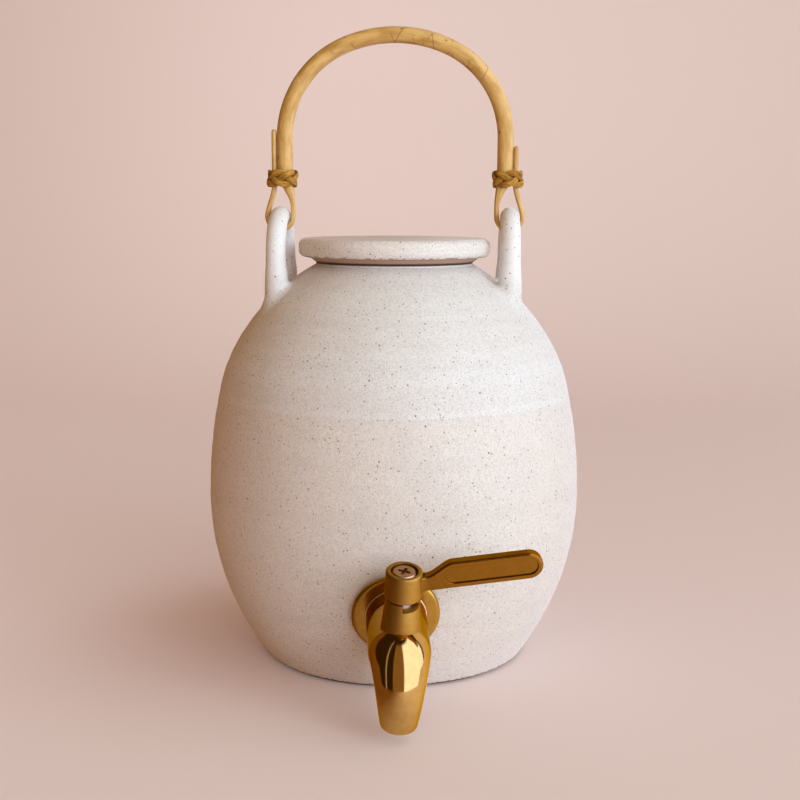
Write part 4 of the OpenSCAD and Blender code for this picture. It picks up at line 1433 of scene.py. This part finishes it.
@dataclass
class Hardware:
    """Small pieces whose CAD shapes are right as they are and only need their finishes."""

    finishes: dict[str, Finish] = field(default_factory=lambda: {
        "outer_seal": SILICONE, "inner_seal": SILICONE, "inner_washer": STEEL, "lock_nut": STEEL,
        "valve_sleeve": PTFE, "valve_plug": STEEL, "stem_o_rings": SEAL, "bearing_washer": PTFE,
        "bottom_cap": SATIN, "cap_o_ring": SEAL, "lever_screw": BRONZE, "spring_washer": STEEL,
    })

    def build(self) -> None:
        """Give each node its material."""
        for name, finish in self.finishes.items():
            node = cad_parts[name]
            node.data.materials.clear()
            node.data.materials.append(finish.material())
            log.info("%s: finished in %s", name, finish.name)


# Studio


ROOM_TONE = srgb(208, 181, 171)


@dataclass(frozen=True)
class Paper(Finish):
    """Seamless paper of the backdrop, glowing as a painted pool of light, with the shadow beside the crock painted
    deeper and a lit and shaded floor painted for mirrors.
    """

    tint: Colour = srgb(233, 213, 208)
    shown: Colour = srgb(232, 213, 208)
    far: Colour = ROOM_TONE
    # Painted reflections: the floor as mirrors see it, shaded on the left and lit on the right.
    shade: Colour = (0.23, 0.105, 0.014)
    sheen: Colour = (1.2, 1.13, 1.3)
    steady: float = 0.25
    mirrored_r: float = 100.0
    spout: Spot = (8.0, -118.0, 0.0)
    # Around this spot, left of the crock, the glow is held back: a painted deepening of the shadow.
    shadow: Spot = (-50.0, -10.0, 0.0)
    # Middle of the painted pool of light on the backdrop.
    bright: Spot = (0.0, 1200.0, 300.0)
    front_end: Point = (-200.0, -700.0)
    side_end: Point = (550.0, 1000.0)

    def draw(self, graph: Graph) -> None:
        """Shade the paper, hold part of its tone steady for the camera and for mirrors, and paint light, shadow and
        reflections into that tone.

        Args:
            graph: The material's nodes.
        """
        place = graph.place_mm()
        x, y, _ = graph.split(place)
        path = graph.add("ShaderNodeLightPath").outputs
        camera, mirror = path["Is Camera Ray"], path["Is Glossy Ray"]
        outside = graph.math("MAXIMUM", graph.ramp(y, *self.front_end), graph.ramp(graph.size(x), *self.side_end))
        far = graph.times(camera, outside)
        # Painted reflection: mirrors see the floor shaded on the left and lit on the right.
        mirrored = graph.blend(graph.ramp(x, -45.0, 60.0), self.shade, self.sheen)
        tone = graph.blend(mirror, graph.blend(far, self.shown, self.far), mirrored)
        # Painted pool of light: the glow is brighter round the lit spot and towards the left.
        even = graph.times(graph.ramp(graph.distance(place, self.bright), 100.0, 750.0, 1.62, 1.12),
                           graph.ramp(x, -300.0, 300.0, 1.12, 0.94))
        level = graph.math("MULTIPLY_ADD", even, graph.math("SUBTRACT", 1.0, far), far)
        glow = graph.fill("ShaderNodeEmission", tone, level).outputs[0]
        # Painted shadow: the glow fades near the shadow spot, so the paper there is darker.
        under = graph.ramp(graph.distance(place, self.shadow), 30.0, 150.0, 0.1, self.steady)
        held = graph.math("MAXIMUM", graph.times(camera, under), far)
        sheet = graph.mixed(graph.math("MULTIPLY_ADD", mirror, 0.9, held),
                            graph.principled(Base_Color=self.tint, Roughness=0.9), glow)
        beyond = graph.times(graph.math("GREATER_THAN", graph.distance(place, self.spout), self.mirrored_r),
                             graph.math("LESS_THAN", y, self.spout[1] - 15))
        clear = graph.add("ShaderNodeBsdfTransparent").outputs[0]
        graph.end(graph.mixed(graph.times(beyond, mirror), sheet, clear))


@dataclass(frozen=True)
class Lamp:
    """One soft area lamp, in watts and metres."""

    name: str
    power: float
    size: Point
    spot: Spot
    tint: Colour

    def hang(self, aim: Vector) -> None:
        """Hang the lamp, out of sight of mirrors.

        Args:
            aim: The point that it faces.
        """
        data = bpy.data.lights.new(self.name, "AREA")
        data.shape = "RECTANGLE"
        data.energy = self.power
        data.size, data.size_y = self.size
        data.color = self.tint
        lamp = bpy.data.objects.new(self.name, data)
        lamp.location = self.spot
        lamp.rotation_euler = (aim - Vector(self.spot)).to_track_quat("-Z", "Y").to_euler()
        lamp.visible_glossy = False
        bpy.context.scene.collection.objects.link(lamp)


@dataclass
class Studio:
    """Seamless sweep, soft lights and the camera at the photograph's angle."""

    lens: float = 57.9
    distance: float = 567.3
    eye_z: float = 199.8
    aside: float = 2.6
    azimuth: float = 2.2
    pitch: float = 8.82
    roll: float = 0.2
    paper_half: float = 3500.0
    paper_front: float = -3200.0
    paper_top: float = 3200.0
    bend_y: float = 700.0
    bend_r: float = 600.0
    fill: Colour = (0.33, 0.148, 0.008)
    dark: Colour = (0.05, 0.026, 0.012)
    bands: tuple[tuple[float, float, Colour], ...] = (
        (-1.05, -0.98, (0.9, 0.85, 0.8)),
        (-0.5, 0.33, (0.4, 0.26, 0.12)),
        (0.33, 1.85, (2.3, 2.8, 4.8)),
    )
    lamps: tuple[Lamp, ...] = (
        Lamp("window", 40.0, (2.0, 0.9), (1.2, -1.8, 0.72), (0.75, 0.885, 1.0)),
        Lamp("skylight", 6.5, (1.6, 1.2), (0.9, -0.3, 1.3), (0.7, 0.95, 1.0)),
        Lamp("side", 6.5, (2.0, 0.9), (1.9, -0.9, 0.8), (0.6, 0.95, 1.0)),
    )

    def sweep_paper(self) -> None:
        """Bend one sheet from the floor up behind the object."""
        bm = bmesh.new()
        bend = arc(self.bend_y, self.bend_r, self.bend_r, -90, 0, 20)[1:]
        profile = [(self.paper_front, 0.0), (self.bend_y, 0.0), *bend, (self.bend_y + self.bend_r, self.paper_top)]
        verts = [bm.verts.new((-self.paper_half, y, z)) for y, z in profile]
        edges = [bm.edges.new(pair) for pair in zip(verts, verts[1:])]
        made = bmesh.ops.extrude_edge_only(bm, edges=edges)["geom"]
        far = [g for g in made if isinstance(g, bmesh.types.BMVert)]
        bmesh.ops.translate(bm, vec=(2 * self.paper_half, 0, 0), verts=far)
        bmesh.ops.scale(bm, vec=(MM, MM, MM), verts=bm.verts)
        mesh = bpy.data.meshes.new("paper_sweep")
        bm.to_mesh(mesh)
        bm.free()
        mesh.shade_smooth()
        mesh.materials.append(Paper("backdrop_paper", "glaze").material())
        paper = bpy.data.objects.new("paper_sweep", mesh)
        bpy.context.scene.collection.objects.link(paper)

    def world(self) -> None:
        """Fill the room with weak warm light, and let polished metal see a window in a dark room."""
        world = bpy.data.worlds.new("room")
        world.use_nodes = True
        graph = Graph(world.node_tree)
        x, y, z = graph.split(graph.add("ShaderNodeTexCoord").outputs["Generated"])
        side = graph.math("ARCTAN2", x, graph.times(y, -1.0))
        soft = 0.02
        mirrored: Colour | Socket = self.dark
        for start, end, light in self.bands:
            across = graph.times(graph.ramp(side, start - soft, start + soft), graph.ramp(side, end + soft, end - soft))
            mirrored = graph.blend(graph.times(across, graph.ramp(z, 0.96, 0.9)), mirrored, light)
        path = graph.add("ShaderNodeLightPath").outputs
        seen = graph.blend(path["Is Glossy Ray"], self.fill, mirrored)
        seen = graph.blend(path["Is Camera Ray"], seen, ROOM_TONE)
        graph.end(graph.fill("ShaderNodeBackground", seen).outputs[0], "World")
        bpy.context.scene.world = world

    def camera(self) -> None:
        """Set the camera at the photograph's angle."""
        data = bpy.data.cameras.new("view")
        data.lens = self.lens
        data.sensor_width = 36.0
        data.clip_start = 0.01
        camera = bpy.data.objects.new("view", data)
        turn = Matrix.Rotation(math.radians(90 - self.pitch), 4, "X") @ Matrix.Rotation(math.radians(self.roll), 4, "Z")
        eye = Vector((self.aside, -self.distance, self.eye_z)) * MM
        orbit = Matrix.Rotation(math.radians(self.azimuth), 4, "Z")
        camera.matrix_world = orbit @ Matrix.Translation(eye) @ turn
        bpy.context.scene.collection.objects.link(camera)
        bpy.context.scene.camera = camera

    def build(self) -> None:
        """Set paper, lights, camera and the plain view."""
        self.sweep_paper()
        self.world()
        for lamp in self.lamps:
            lamp.hang(Vector((0, 0, 0.12)))
        self.camera()
        bpy.context.scene.view_settings.view_transform = "Standard"


def main() -> None:
    """Build every sub-assembly in order, then the studio."""
    logging.basicConfig(level=logging.INFO, format="%(message)s")
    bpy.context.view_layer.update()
    assemblies: list[Callable[[], None]] = [
        Crock().build, Lid().build, CaneHandle().build, Binding(Side.LEFT).build, Binding(Side.RIGHT).build,
        Tap().build, Lever().build, Hardware().build, Studio().build,
    ]
    for build in assemblies:
        build()


if __name__ == "__main__":
    main()
